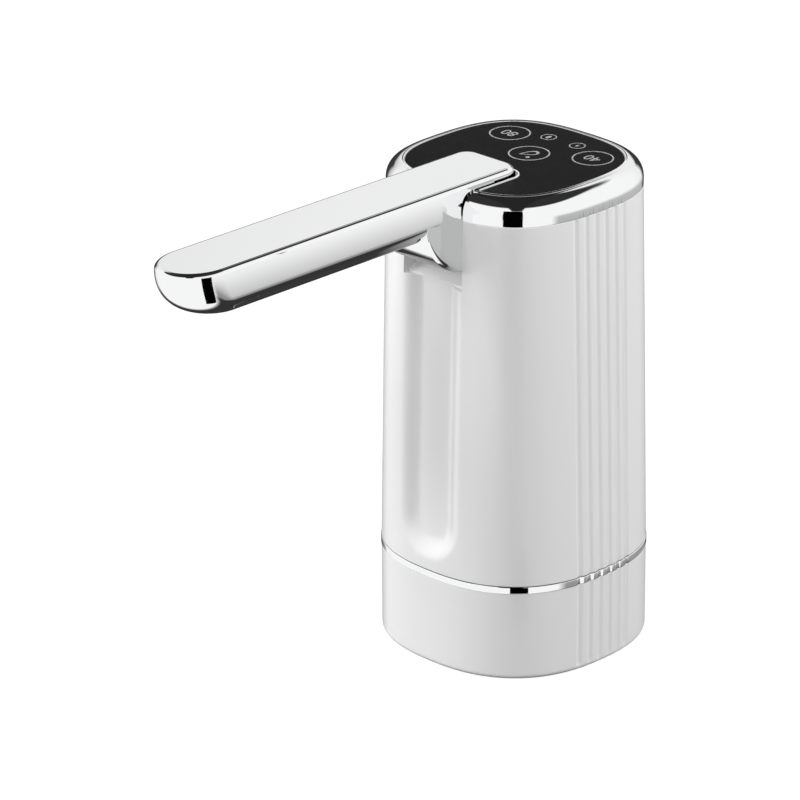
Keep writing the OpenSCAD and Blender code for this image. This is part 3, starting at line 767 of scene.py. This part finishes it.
    def shell_ribs(self) -> list[Obj]:
        """Make the cheeks, screw bosses and socket studs inside the shell.

        Returns:
            The tools to add.
        """
        s, t, front = self.slot_half, self.cheek_t, self.hinge[0] - 1
        tools = [slab((x, front, self.slot_z + 1), (x + t, self.cradle_y, self.top_z)) for x in (s, -s - t)]
        for x, d in CORNERS:
            boss = disc_plan(x * self.screw_at, d * self.screw_at, self.boss_r)
            tools.append(prism("boss", boss, self.shell_z + 0.5, self.shell_z + self.boss_h))
            z = self.socket_z + self.stud_at[1] * d
            stud = disc_plan(x * self.stud_at[0], z, self.stud_r, 24)
            tools.append(prism("stud", stud, self.stud_y, self.half_at(z) - 1, "Y"))
        return tools

    def shell_cutters(self) -> list[Obj]:
        """Make the tools for the spout slot, the pin slots, the screw bores and the charging port.

        Returns:
            The tools to cut out.
        """
        s, (hy, hz), r = self.slot_half, self.hinge, self.pin_bore
        tools = [slab((-s, self.clear_y, self.slot_z), (s, self.cradle_y, self.top_z + 1))]
        for x in (s - 1, -s - self.pin_depth):
            end = x + (self.pin_depth + 1)
            tools.append(prism("pin", disc_plan(hy, hz, r, 32), x, end, "X"))
            tools.append(slab((x, hy - r, hz), (end, hy + r, self.top_z + 1)))
        for x, y in CORNERS:
            bore = disc_plan(x * self.screw_at, y * self.screw_at, self.screw_bore, 24)
            tools.append(prism("bore", bore, self.shell_z - 1, self.shell_z + self.boss_h - 6))
        width, height, corner = self.port
        port = rounded_plan(width, height, corner, self.socket_z + height / 2)
        return [*tools, prism("port", port, *self.port_y, "Y")]


# Top


LAMP_CELL: Plan = [
    (-0.5, -0.95), (0.5, -0.95), (0.5, 0.75), (0.22, 0.75),
    (0.22, 1.0), (-0.22, 1.0), (-0.22, 0.75), (-0.5, 0.75),
]
LAMP_BOLT: Plan = [(0.12, 1.1), (-0.55, -0.18), (-0.06, -0.18), (-0.12, -1.1), (0.55, 0.18), (0.06, 0.18)]
RIM_BEAD = ((0.62, 0.02), (0.52, 0.12), (0.38, 0.2), (0.2, 0.2), (0.06, 0.12), (0.0, -0.05))


@dataclass
class Top:
    """Chrome bezel, black touch panel with its printed keys, and the lip round the spout's rear end."""

    finishes: Finishes
    housing: Housing
    panel_z: float = 139.05
    panel_half: float = 26.8
    panel_power: float = 2.86
    panel_t: float = 2.1
    panel_r: float = 0.2
    board_z: float = 135.95
    rise: float = 5.22
    rim: float = 0.75
    foot_r: float = 0.15
    collar_h: float = 2.0
    collar_t: float = 1.2
    ledge: float = 2.2
    lip_w: float = 0.6
    lip_r: float = 0.16
    notch_back: float = -7.2
    notch_l: float = 50.0
    notch_r: float = 5.0
    notch_gap: float = 0.02
    tray_z: float = 136.4
    tray_t: float = 0.8
    keys: tuple[tuple[float, float], ...] = ((-14.8, 13.6), (0.4, 5.2), (15.6, 14.2))
    lamps: tuple[tuple[float, float], ...] = ((-4.8, 18.5), (5.7, 18.7))
    key_r: float = 5.55
    lamp_r: float = 2.13
    line: float = 0.42
    numeral_h: float = 5.0
    drop_half: tuple[float, float] = (2.1, 2.9)
    drop_lean: tuple[float, float] = (0.82, 0.57)
    drop_inner: float = 0.74
    ink_t: float = 0.03

    def bezel(self) -> None:
        """Build the cap ring with its rolled shoulder, thin rim and spout notch."""
        h, p, r, n = self.housing, self.panel_z, self.foot_r, self.housing.top_power
        under, seat = h.top_z - self.collar_h, p - self.panel_t
        collar = h.half_at(under) - h.wall - r
        width = h.top_half - self.panel_half - self.rim
        levels = [Section(collar, n, under), Section(collar, n, h.top_z)]
        levels += [Section(h.top_half - r + r * s, n, h.top_z + r - r * c) for c, s in quarter(3)]
        for c, s in quarter(40):
            power = n + (self.panel_power - n) * (1 - c)
            levels.append(Section(h.top_half - width * (1 - c), power, p - self.rise * (1 - s)))
        inside = ((0.0, seat), (-self.ledge, seat), (-self.ledge, self.board_z), (0.4, self.board_z))
        for out, z in (*((out, p + up) for out, up in RIM_BEAD), *inside):
            levels.append(Section(self.panel_half + out, self.panel_power, z))
        levels += [Section(collar - self.collar_t, n, z) for z in (h.top_z, under)]
        piece = loft("bezel_ring", [h.ring(s) for s in levels], hoop=True)
        s, w, low, high = h.slot_half, h.slot_half + self.lip_w, under - 1, p + 2
        cheek = s + h.cheek_t + 0.5
        shape(piece, "DIFFERENCE", [
            slab((-s, h.clear_y, low), (s, h.cradle_y, high)),
            slab((-w, 1 - self.panel_half, low), (w, h.cradle_y + 0.01, high)),
            slab((-cheek, h.clear_y, low), (cheek, h.cradle_y + 3, h.top_z)),
        ])
        self.finishes.place(shaded(piece), Body.HOUSING, Slot.CHROME, ["top_bezel"])

    def panel(self) -> None:
        """Build the touch panel with its softened edge and the notch for the spout."""
        gap, p, r, n = self.notch_gap, self.panel_z, self.panel_r, self.panel_power
        half, width = self.panel_half - gap, 2 * (self.housing.slot_half + self.lip_w)
        levels = [Section(half, n, p - self.panel_t)]
        levels += [Section(half - r + r * c, n, p - r + r * s) for c, s in quarter(4)]
        piece = loft("panel_face", [self.housing.ring(s) for s in levels])
        notch = rounded_plan(width + 2 * gap, self.notch_l + 2 * gap, self.notch_r, self.notch_back + gap)
        shape(piece, "DIFFERENCE", [prism("notch", notch, p - self.panel_t - 1, p + 1)])
        self.finishes.place(shaded(piece), Body.HOUSING, Slot.PANEL, ["touch_panel"])

    def lip(self) -> None:
        """Build the chrome lip and the tray under the spout's rear end."""
        s, w, back, length = self.housing.slot_half, self.lip_w, self.notch_back, self.notch_l
        low, high, front = self.tray_z - 1, self.panel_z + 2, -length - 10
        outer = rounded_plan(2 * (s + w), length, self.notch_r, back, 20)
        hollow = rounded_plan(2 * s, length, self.notch_r - w, back - w, 20)
        piece = prism("notch_lip", outer, self.tray_z, self.panel_z + 0.3)
        shape(piece, "DIFFERENCE", [
            prism("hollow", hollow, self.tray_z + self.tray_t, high),
            slab((-s, front, low), (s, self.housing.cradle_y + 0.6, high)),
            slab((-20.0, front, low), (20.0, 1.3 - self.panel_half, high)),
        ])
        shaded(edged(piece, self.lip_r, 4))
        self.finishes.place(piece, Body.HOUSING, Slot.CHROME, ["notch_trim"])

    def prints(self) -> None:
        """Print the key rings, numerals, drop and lamp marks on the panel."""
        tree = ring_tree()
        made = [
            self.rings("key_rings", tree, self.keys, self.key_r, self.line),
            self.rings("lamp_rings", tree, self.lamps, self.lamp_r, self.line * 0.75),
            self.numeral("numeral_80", "80", self.keys[0]),
            self.numeral("numeral_40", "40", self.keys[2]),
            self.marks(),
        ]
        for piece in made:
            self.finishes.place(piece, Body.HOUSING, Slot.PANEL, material=self.finishes.print_ink)

    def rings(
        self, name: str, tree: Tree, places: Sequence[tuple[float, float]], radius: float,
        line: float,
    ) -> Obj:
        """Print one set of equal rings.

        Args:
            name: Name of the piece.
            tree: The ring tree.
            places: Ring centres on the panel.
            radius: Ring radius.
            line: Line width.

        Returns:
            The rings as one mesh.
        """
        values = {"Radius": radius * MM, "Line": line * MM, "Height": self.ink_t * MM}
        values["Finish"] = self.finishes.print_ink
        return grown(name, tree, [(x, y, self.panel_z + 0.02) for x, y in places], values)

    def numeral(self, name: str, text: str, at: tuple[float, float]) -> Obj:
        """Print a numeral that reads from the back of the pump.

        Args:
            name: Name of the piece.
            text: The digits.
            at: Centre of the key.

        Returns:
            The numeral as a thin mesh.
        """
        curve = bpy.data.curves.new(name, "FONT")
        curve.body, curve.size, curve.align_x, curve.align_y = text, self.numeral_h * MM, "CENTER", "CENTER"
        curve.extrude, curve.resolution_u = self.ink_t / 2 * MM, 6
        work = link(name + "_text", curve)
        bpy.context.view_layer.update()
        mesh = bpy.data.meshes.new_from_object(work.evaluated_get(bpy.context.evaluated_depsgraph_get()))
        bpy.data.objects.remove(work)
        bpy.data.curves.remove(curve)
        shift = Matrix.Translation(Vector((*at, self.panel_z + self.ink_t)) * MM)
        mesh.transform(shift @ Matrix.Rotation(math.pi, 4, "Z"))
        mesh.name = name
        return link(name, mesh)

    def marks(self) -> Obj:
        """Print the water drop and the two lamp marks.

        Returns:
            The marks as one thin mesh.
        """
        low, high = self.panel_z + 0.005, self.panel_z + 0.005 + self.ink_t
        (x, y), (wide, tall), (c, s), k = self.keys[1], self.drop_half, self.drop_lean, self.drop_inner
        outline: Plan = []
        for i in range(48):
            a = 2 * math.pi * i / 48
            u, v = wide * math.sin(a) * math.sin(a / 2) ** 1.4, tall * math.cos(a)
            outline.append((u * c - v * s, u * s + v * c))
        inner = [(u * k, v * k + 0.05) for u, v in outline]
        levels = ((outline, low), (outline, high), (inner, high), (inner, low))
        strokes = [loft("drop", [[(x + u, y - v, z) for u, v in path] for path, z in levels], hoop=True)]
        strokes.append(prism("drip", disc_plan(x + 1.9, y - 2.6, 0.6, 20), low, high))
        for (x, y), path in zip(self.lamps, (LAMP_CELL, LAMP_BOLT)):
            strokes.append(prism("mark", [(x + u, y + v) for u, v in path], low, high))
        return merged("panel_marks", strokes)


# Repeats


def repeat_tree(name: str, inputs: dict[str, str]) -> Tree:
    """Start a geometry tree that puts one shape on each point and gives the copies a finish.

    Args:
        name: Name of the tree.
        inputs: Names and kinds of its own inputs, between Geometry and Finish.

    Returns:
        The tree, with its group input named In, and Spread waiting for the shape.
    """
    tree = bpy.data.node_groups.new(name, "GeometryNodeTree")
    for label, kind in {"Geometry": "Geometry", **inputs, "Finish": "Material"}.items():
        tree.interface.new_socket(label, in_out="INPUT", socket_type=f"NodeSocket{kind}")
    tree.interface.new_socket("Geometry", in_out="OUTPUT", socket_type="NodeSocketGeometry")
    source, sink = add(tree, "NodeGroupInput", name="In"), add(tree, "NodeGroupOutput")
    spread = add(tree, "GeometryNodeInstanceOnPoints", name="Spread")
    real, coat = add(tree, "GeometryNodeRealizeInstances"), add(tree, "GeometryNodeSetMaterial")
    wire(
        tree, (source, "Geometry", spread, "Points"), (spread, "Instances", real, "Geometry"),
        (real, "Geometry", coat, "Geometry"), (source, "Finish", coat, "Material"),
        (coat, "Geometry", sink, "Geometry"),
    )
    return tree


def ring_tree() -> Tree:
    """Build the node tree that puts a flat printed ring on each point.

    Returns:
        The tree, with inputs Radius, Line, Height and Finish.
    """
    tree = repeat_tree("PrintedRings", {"Radius": "Float", "Line": "Float", "Height": "Float"})
    source = tree.nodes["In"]
    path = add(tree, "GeometryNodeCurvePrimitiveCircle", {"Resolution": 96})
    profile = add(tree, "GeometryNodeCurvePrimitiveQuadrilateral")
    sweep = add(tree, "GeometryNodeCurveToMesh")
    wire(
        tree, (source, "Radius", path, "Radius"), (source, "Line", profile, "Width"),
        (source, "Height", profile, "Height"), (path, "Curve", sweep, "Curve"),
        (profile, "Curve", sweep, "Profile Curve"), (sweep, "Mesh", tree.nodes["Spread"], "Instance"),
    )
    return tree


def screw_tree() -> Tree:
    """Build the node tree that puts a copy of one screw on each point.

    Returns:
        The tree, with inputs Screw, Turn and Finish.
    """
    tree = repeat_tree("ScrewSet", {"Screw": "Object", "Turn": "Float"})
    source, spread = tree.nodes["In"], tree.nodes["Spread"]
    pattern, index = add(tree, "GeometryNodeObjectInfo"), add(tree, "GeometryNodeInputIndex")
    turn = add(tree, "ShaderNodeMath", operation="MULTIPLY")
    angles = add(tree, "ShaderNodeCombineXYZ")
    wire(
        tree, (source, "Screw", pattern, "Object"), (index, "Index", turn, 0), (source, "Turn", turn, 1),
        (turn, "Value", angles, "Z"), (pattern, "Geometry", spread, "Instance"),
        (angles, "Vector", spread, "Rotation"),
    )
    return tree


def grown(
    name: str, tree: Tree, points: Sequence[Point], inputs: dict[str, object]
) -> Obj:
    """Run a node tree over loose points and keep the result as a plain mesh.

    Args:
        name: Name of the piece.
        tree: The geometry node tree.
        points: Places in millimetres.
        inputs: Values for the tree's named inputs.

    Returns:
        The plain mesh object.
    """
    mesh = bpy.data.meshes.new(name)
    mesh.from_pydata([tuple(c * MM for c in p) for p in points], [], [])
    obj = link(name, mesh)
    step = obj.modifiers.new("repeat", "NODES")
    step.node_group = tree
    for item in tree.interface.items_tree:
        if item.in_out == "INPUT" and item.name in inputs:
            step[item.identifier] = inputs[item.name]
    return bake(obj)


# Spout


@dataclass
class Spout:
    """Chrome folding spout: hollow arm with its hinge lug, and the flush lid on top."""

    finishes: Finishes
    half: float = 10.65
    top: float = 141.5
    bottom: float = 128.0
    lid_t: float = 1.2
    reach: float = 128.6
    tip: float = 12.0
    bow: float = 12.0
    corner: float = 5.5
    wall: float = 2.2
    tail_y: float = -8.3
    tail_z: float = 137.6
    tail_r: float = 4.5
    crown_z: float = 131.0
    crown_rate: float = 0.0063
    hinge: tuple[float, float] = (-29.0, 127.0)
    pin_r: float = 1.25
    barrel_r: float = 10.4
    barrel_turn: float = 110.0
    lug_centre: tuple[float, float] = (-26.213, 134.658)
    lug_r: float = 18.55
    lug_turn: float = 66.4
    lug_edge: tuple[float, float] = (0.35, 1.25)
    lug_blend: tuple[float, float] = (133.5, 16.0)
    trough: tuple[float, float] = (13.5, 19.0)
    trough_d: float = 3.1
    duct_z: float = 136.0
    duct_r: float = 3.0
    outlet: float = 106.1
    outlet_r: float = 4.5
    nose_steps: int = 60

    def __post_init__(self) -> None:
        """Work out where the lid lies."""
        self.join = self.top - self.lid_t

    def nose(self, half: float, start: float, length: float) -> Plan:
        """Return the elliptical tip of an outline, from its right side round to its left."""
        turns = [math.pi / 2 * i / self.nose_steps for i in range(-self.nose_steps, self.nose_steps + 1)]
        return [(-half * math.sin(t), start - length * math.cos(t)) for t in turns]

    def outline(self, half: float, tip_y: float, length: float, back: float) -> Plan:
        """Outline the arm from above with an elliptical tip and a square back.

        Args:
            half: Half width.
            tip_y: Reach of the tip from the body axis.
            length: Length of the elliptical tip.
            back: Largest y.

        Returns:
            The outline, starting at the right rear corner and running round the tip.
        """
        start = -(tip_y - length)
        sides = [back + (start - back) * i / 16 for i in range(16)]
        left = [(-half, y) for y in reversed(sides)]
        return [*((half, y) for y in sides), *self.nose(half, start, length), *left]

    def crown(self, z: float) -> float:
        """Return how far the softly bowed sides lean in at a height."""
        return self.crown_rate * max(0.0, z - self.crown_z) ** 2

    def bar(self) -> Obj:
        """Stack the arm's outlines from its rounded underside to the lid.

        Returns:
            The arm without its lug and tail.
        """
        heights = [self.bottom + self.corner * (1 - c) for c, _ in quarter(24)]
        heights += [heights[-1] + (self.join - heights[-1]) * i / 8 for i in range(1, 9)]
        levels, back = [], self.hinge[0] + self.barrel_r
        for z in heights:
            low = max(0.0, 1 - (z - self.bottom) / self.corner)
            half = self.half - self.corner * (1 - math.sqrt(1 - low * low))
            rise = max(0.0, 1 - (z - self.bottom) / (self.join - self.bottom))
            tip_y = self.reach - self.bow * (1 - math.sqrt(1 - rise * rise))
            plan = self.outline(half, tip_y, self.tip * half / self.half, back)
            levels.append([(x * (1 - self.crown(z) / self.half), y, z) for x, y in plan])
        return loft("spout_body", levels)

    def lug(self) -> Obj:
        """Build the hinge lug: barrel and swelling front, with side edges that grow rounder towards the body.

        Returns:
            The lug.
        """
        (hy, hz), (cy, cz), back = self.hinge, self.lug_centre, self.hinge[0] + self.barrel_r
        profile: Plan = [(back, self.join - 1.0), (back, hz)]
        for i in range(1, 37):
            a = math.radians(-self.barrel_turn * i / 36)
            profile.append((hy + self.barrel_r * math.cos(a), hz + self.barrel_r * math.sin(a)))
        for i in range(1, 49):
            a = math.radians(360 - self.barrel_turn - self.lug_turn * i / 48)
            profile.append((cy + self.lug_r * math.cos(a), cz + self.lug_r * math.sin(a)))
        profile += [(hy - 9.0, self.join - 2.0), (hy, self.join - 1.0)]
        (sharp, soft), (start, depth) = self.lug_edge, self.lug_blend
        radii = [sharp + soft * eased((start - z) / depth) for _, z in profile]
        normals, rings = left_normals(profile), []
        for side, turns in ((-1, quarter(8)[::-1]), (1, quarter(8))):
            for c, s in turns:
                sunk = [(r * (1 - s), r * (1 - c)) for r in radii]
                rings.append([
                    (side * (self.half - self.crown(z) - inset), y - u * d, z - v * d)
                    for (y, z), (u, v), (inset, d) in zip(profile, normals, sunk)
                ])
        return loft("lug", rings)

    def tail(self) -> Obj:
        """Build the thin rear end that lies over the notch.

        Returns:
            The tail.
        """
        width = 2 * (self.half - self.crown(self.join))
        plan = rounded_plan(width, 40.0 + self.tail_y, self.tail_r, self.tail_y, 16)
        return prism("tail", plan, self.tail_z, self.join)

    def cutters(self) -> list[Obj]:
        """Make the tools for the trough, the water duct, the pin bores and the outlet.

        Returns:
            The tools to cut out.
        """
        (hy, hz), h, (front, back) = self.hinge, self.half - self.wall, self.trough
        tools = [slab((-h, front - self.reach, self.duct_z - self.trough_d), (h, hy - back, self.top))]
        duct = disc_plan(0.0, self.duct_z, self.duct_r)
        tools.append(prism("duct", duct, hy - back - 1, hy - back + 5, "Y"))
        for x in (self.half - 4, -self.half - 1):
            tools.append(prism("pin", disc_plan(hy, hz, self.pin_r, 32), x, x + 5, "X"))
        outlet = disc_plan(0.0, -self.outlet, self.outlet_r)
        return [*tools, prism("outlet", outlet, self.bottom - 1, self.duct_z)]

    def body(self) -> None:
        """Join bar, lug and tail into the spout body."""
        piece = self.bar()
        shape(piece, "UNION", [self.lug(), self.tail()])
        shape(piece, "DIFFERENCE", self.cutters())
        self.finishes.place(shaded(piece, 28.0), Body.SPOUT, Slot.CHROME, ["spout_arm"])

    def lid(self) -> None:
        """Build the flush lid, with a top edge that rolls on from the lean of the sides."""
        start, r, low = self.tip - self.reach, self.tail_r, self.join
        half, rear = self.half - self.crown(low), self.tail_y - r
        arcs = [[(s * (half - r) + s * r * c, rear + r * k) for c, k in quarter(16)] for s in (1, -1)]
        ys = [rear + (start - rear) * i / 24 for i in range(1, 24)]
        plan: Plan = [*reversed(arcs[0]), *((half, y) for y in ys), *self.nose(half, start, self.tip)]
        plan += [*((-half, y) for y in reversed(ys)), *arcs[1]]
        lean = math.atan(2 * self.crown_rate * (low - self.crown_z))
        radius, rings = self.lid_t / (1 - math.sin(lean)), []
        for i in range(13):
            a = lean + (math.pi / 2 - lean) * i / 12
            d, z = radius * (math.cos(lean) - math.cos(a)), low + radius * (math.sin(a) - math.sin(lean))
            rings.append([(x - u * d, y - v * d, z) for (x, y), (u, v) in zip(plan, left_normals(plan))])
        piece = loft("spout_lid", rings)
        self.finishes.place(shaded(piece), Body.SPOUT, Slot.CHROME, ["spout_cover"])


# Fasteners


@dataclass
class Fasteners:
    """Cross-recess screws seen from below in the base and the neck."""

    finishes: Finishes
    head_r: float = 1.9
    head_h: float = 1.3
    shank_r: float = 1.0
    seat_z: float = 21.5
    corner: float = 22.472
    bolt_x: float = 11.2
    bolt_y: tuple[float, float] = (-1.7, 13.7)
    cross: tuple[float, float] = (1.05, 0.22)
    cross_z: float = -0.45
    turn: float = 0.7

    def pattern(self, length: float) -> Obj:
        """Build one screw, head down, with its seat at the origin.

        Args:
            length: Shank length above the seat.

        Returns:
            The screw mesh.
        """
        r, h, shank, (u, v) = self.head_r, -self.head_h, self.shank_r, self.cross
        head = ((0.02, h), (r - 0.35, h), (r - 0.1, h + 0.12), (r, h + 0.4), (r, 0.0))
        stem = ((shank, 0.0), (shank, length - 0.8), (0.3, length))
        rings = [[(x, y, z) for x, y in disc_plan(0.0, 0.0, radius, 32)] for radius, z in (*head, *stem)]
        piece = loft("screw", rings)
        arms = [slab((-x, -y, h - 0.5), (x, y, self.cross_z)) for x, y in ((u, v), (v, u))]
        return shaded(shape(piece, "DIFFERENCE", arms))

    def build(self) -> None:
        """Place the base screws and the pump mount screws."""
        tree, metal = screw_tree(), self.finishes.of(Slot.STEEL)
        corners = [(sx * self.corner, sy * self.corner, self.seat_z) for sx, sy in CORNERS]
        bolts = [(sx * self.bolt_x, y, self.seat_z) for sx in (-1, 1) for y in self.bolt_y]
        sets = (
            ("base_screw_set", "base_screws", corners, 20.0),
            ("mount_screw_set", "pump_mount_screws", bolts, 9.0),
        )
        for name, node, places, length in sets:
            pattern = self.pattern(length)
            piece = grown(name, tree, places, {"Screw": pattern, "Turn": self.turn, "Finish": metal})
            bpy.data.objects.remove(pattern)
            self.finishes.place(piece, Body.HOUSING, Slot.STEEL, [node])


# Stage


@dataclass(frozen=True)
class Card:
    """One wall of the studio as reflections see it: a brightness and the soft limits of its directions."""

    level: float
    limits: tuple[tuple[Point, float, float], ...]


@dataclass(frozen=True)
class Flag:
    """A thin black board that only mirrors see: its two ends from above, and its lower and upper edge."""

    left: tuple[float, float]
    right: tuple[float, float]
    low: float
    high: float
    thickness: float = 0.02


TIP_FLAG = Flag((75.2, -143.7), (136.7, -104.9), -15.0, 150.0)
BEZEL_FLAG = Flag((42.0, -70.5), (63.0, -50.8), 140.0, 159.0)
BAND_FLAG = Flag((37.3, -43.3), (46.4, -34.2), 8.0, 30.0)
WIDE_BOX = (0.9, 1.2)
SMALL_BOX = (0.3, 0.4)
LAMPS: tuple[tuple[str, Point, tuple[float, float], float], ...] = (
    ("left_box", (-860.0, -860.0, 600.0), WIDE_BOX, 16.0),
    ("front_box", (0.0, -900.0, 1010.0), SMALL_BOX, 7.4),
    ("near_box", (860.0, -860.0, 900.0), WIDE_BOX, 3.4),
    ("side_box", (1200.0, 0.0, 600.0), WIDE_BOX, 5.5),
    ("right_box", (860.0, 860.0, 600.0), WIDE_BOX, 12.7),
    ("back_box", (-600.0, 1040.0, 600.0), WIDE_BOX, 9.0),
)


def studio_group(base: float, cards: Sequence[Card]) -> Tree:
    """Build the studio as reflections see it, by direction.

    Args:
        base: Brightness where no card hangs.
        cards: Walls laid over it in order.

    Returns:
        A node group with one output, Level.
    """
    tree = new_group("StudioWalls", {}, {"Level": "NodeSocketFloat"})
    coords, plain = add(tree, "ShaderNodeTexCoord"), add(tree, "ShaderNodeValue")
    plain.outputs["Value"].default_value = base
    last, port = plain, "Value"
    for card in cards:
        mask = None
        for way, start, end in card.limits:
            along = add(tree, "ShaderNodeVectorMath", operation="DOT_PRODUCT")
            along.inputs[1].default_value = way
            step = add(tree, "ShaderNodeMapRange", {"From Min": start, "From Max": end})
            wire(tree, (coords, "Generated", along, 0), (along, "Value", step, "Value"))
            result = step.outputs["Result"]
            if mask:
                both = add(tree, "ShaderNodeMath", operation="MULTIPLY")
                tree.links.new(mask, both.inputs[0])
                tree.links.new(result, both.inputs[1])
                result = both.outputs["Value"]
            mask = result
        laid = add(tree, "ShaderNodeMix", {"B": card.level}, data_type="FLOAT")
        tree.links.new(mask, laid.inputs["Factor"])
        wire(tree, (last, port, laid, "A"))
        last, port = laid, "Result"
    wire(tree, (last, port, tree.nodes["Out"], "Level"))
    return tree


@dataclass
class Stage:
    """Pale floor, soft light, the studio walls and flags that the chrome shows, and the camera."""

    camera_at: Point = (831.097, -871.392, 569.690)
    right: Point = (0.70729, 0.70689, -0.00670)
    up: Point = (-0.26746, 0.27635, 0.92309)
    back: Point = (0.65438, -0.65110, 0.38453)
    lens: float = 212.40
    aim: Point = (0.0, 0.0, 80.0)
    ambient: float = 0.06
    floor_half: float = 4000.0
    floor_tone: float = 0.12
    floor_glow: float = 0.93
    flag_tone: float = 0.001
    aisle_rise: float = 0.27

    def cards(self) -> list[Card]:
        """Hang the walls: far wall, left corner, ceiling, ground and the dark aisle over the camera.

        Returns:
            The walls in the order they are laid.
        """
        down, up = (0.0, 0.0, -1.0), (0.0, 0.0, 1.0)
        near = Vector((self.back[0], self.back[1], 0.0)).normalized()
        side = Vector((-near.y, near.x, 0.0))
        far = (-near.x, -near.y, 0.0)
        aisle = [(tuple(Vector(up) * self.aisle_rise + side * k), -0.02, 0.02) for k in (-1, 1)]
        behind = ((0.0, 1.0, 0.0), 0.08, 0.22)
        return [
            Card(0.91, ((far, 0.5, 0.8),)),
            Card(0.5, (((-0.9, 0.42, 0.0), 0.88, 0.97),)),
            Card(0.03, ((up, 0.67, 0.72),)),
            Card(0.3, ((down, 0.18, 0.425), behind)),
            Card(0.035, ((down, 0.48, 0.54), behind)),
            Card(0.04, ((down, -0.30, -0.22), (far, 0.80, 0.88))),
            Card(0.02, ((up, 0.42, 0.48), *aisle)),
        ]

    def camera(self) -> None:
        """Set the camera at the photograph's viewing angle."""
        data = bpy.data.cameras.new("camera")
        data.lens, data.sensor_width, data.clip_end = self.lens, 36.0, 50.0
        obj = link("camera", data)
        turn = Matrix((self.right, self.up, self.back)).transposed().to_4x4()
        obj.matrix_world = Matrix.Translation(Vector(self.camera_at) * MM) @ turn
        bpy.context.scene.camera = obj

    def floor(self) -> None:
        """Lay the white floor, which keeps the shadow and stays out of mirrors."""
        mat = new_material("floor_white")
        tree = mat.node_tree
        tree.nodes.clear()
        out, both = add(tree, "ShaderNodeOutputMaterial"), add(tree, "ShaderNodeAddShader")
        cloth = add(tree, "ShaderNodeBsdfDiffuse", {"Color": (*grey(self.floor_tone), 1.0)})
        glow, seen = add(tree, "ShaderNodeEmission"), add(tree, "ShaderNodeLightPath")
        level = add(tree, "ShaderNodeMapRange", {"To Max": self.floor_glow})
        wire(
            tree, (seen, "Is Camera Ray", level, "Value"), (level, "Result", glow, "Strength"),
            (cloth, "BSDF", both, 0), (glow, "Emission", both, 1), (both, "Shader", out, "Surface"),
        )
        plan = [(-1, -1), (1, -1), (1, 1), (-1, 1)]
        plane = prism("floor", [(x * self.floor_half, y * self.floor_half) for x, y in plan], -20.0, -0.05)
        plane.data.materials.append(mat)
        plane.visible_glossy = False

    def flags(self) -> None:
        """Hang the black flags that draw the dark strips on tip, bezel and band."""
        mat = new_material("flag_black")
        cloth = mat.node_tree.nodes["Principled BSDF"]
        cloth.inputs["Base Color"].default_value = (*grey(self.flag_tone), 1.0)
        cloth.inputs["Specular IOR Level"].default_value = 0.0
        for i, flag in enumerate((TIP_FLAG, BEZEL_FLAG, BAND_FLAG)):
            back = [(x, y + flag.thickness) for x, y in (flag.right, flag.left)]
            board = prism(f"flag_{i}", [flag.left, flag.right, *back], flag.low, flag.high)
            board.data.materials.append(mat)
            board.visible_camera = board.visible_diffuse = False
            board.visible_shadow = board.visible_transmission = False

    def lamp(self, name: str, at: Point, size: tuple[float, float], watts: float) -> None:
        """Hang one soft box.

        Args:
            name: Name of the lamp.
            at: Place in millimetres.
            size: Width and height in metres.
            watts: Power.
        """
        data = bpy.data.lights.new(name, "AREA")
        data.shape, data.size, data.size_y, data.energy = "RECTANGLE", size[0], size[1], watts
        obj = link(name, data)
        turn = (Vector(self.aim) - Vector(at)).normalized().to_track_quat("-Z", "Y")
        obj.matrix_world = Matrix.Translation(Vector(at) * MM) @ turn.to_matrix().to_4x4()
        obj.visible_glossy = False

    def sky(self) -> None:
        """Set the world: white for the camera, a dim light, and the studio walls for mirrors."""
        world = bpy.data.worlds.new("studio")
        bpy.context.scene.world = world
        world.use_nodes = True
        tree = world.node_tree
        ground, seen = tree.nodes["Background"], add(tree, "ShaderNodeLightPath")
        walls = add(tree, "ShaderNodeGroup", node_tree=studio_group(1.0, self.cards()))
        mirror = add(tree, "ShaderNodeMath", operation="ADD", use_clamp=True)
        plain = add(tree, "ShaderNodeMapRange", {"To Min": self.ambient})
        pick = add(tree, "ShaderNodeMix", data_type="FLOAT")
        wire(
            tree, (seen, "Is Glossy Ray", mirror, 0), (seen, "Is Transmission Ray", mirror, 1),
            (seen, "Is Camera Ray", plain, "Value"), (mirror, "Value", pick, "Factor"),
            (plain, "Result", pick, "A"), (walls, "Level", pick, "B"), (pick, "Result", ground, "Strength"),
        )
        ground.inputs["Color"].default_value = (1.0, 1.0, 1.0, 1.0)

    def build(self) -> None:
        """Set up camera, floor, flags and light."""
        bpy.context.scene.view_settings.view_transform = "Standard"
        self.camera()
        self.floor()
        self.flags()
        self.sky()
        for name, at, size, watts in LAMPS:
            self.lamp(name, at, size, watts)


def dress_cad(finishes: Finishes) -> None:
    """Give every CAD node its procedural finish by the record's slot.

    Args:
        finishes: The shared materials.
    """
    for row in frame["record"]["subparts"]:
        node = frame["nodes"][row["node"]]
        node.data.materials.clear()
        node.data.materials.append(finishes.of(Slot(row["material_slot"])))


def main() -> None:
    """Build the pump's looks in order and report each piece."""
    logging.basicConfig(level=logging.INFO, format="%(name)s: %(message)s")
    finishes = Finishes()
    dress_cad(finishes)
    housing = Housing(finishes)
    housing.base()
    housing.band()
    housing.shell()
    top = Top(finishes, housing)
    top.bezel()
    top.panel()
    top.lip()
    top.prints()
    spout = Spout(finishes)
    spout.body()
    spout.lid()
    Fasteners(finishes).build()
    Stage().build()


if __name__ == "__main__":
    main()
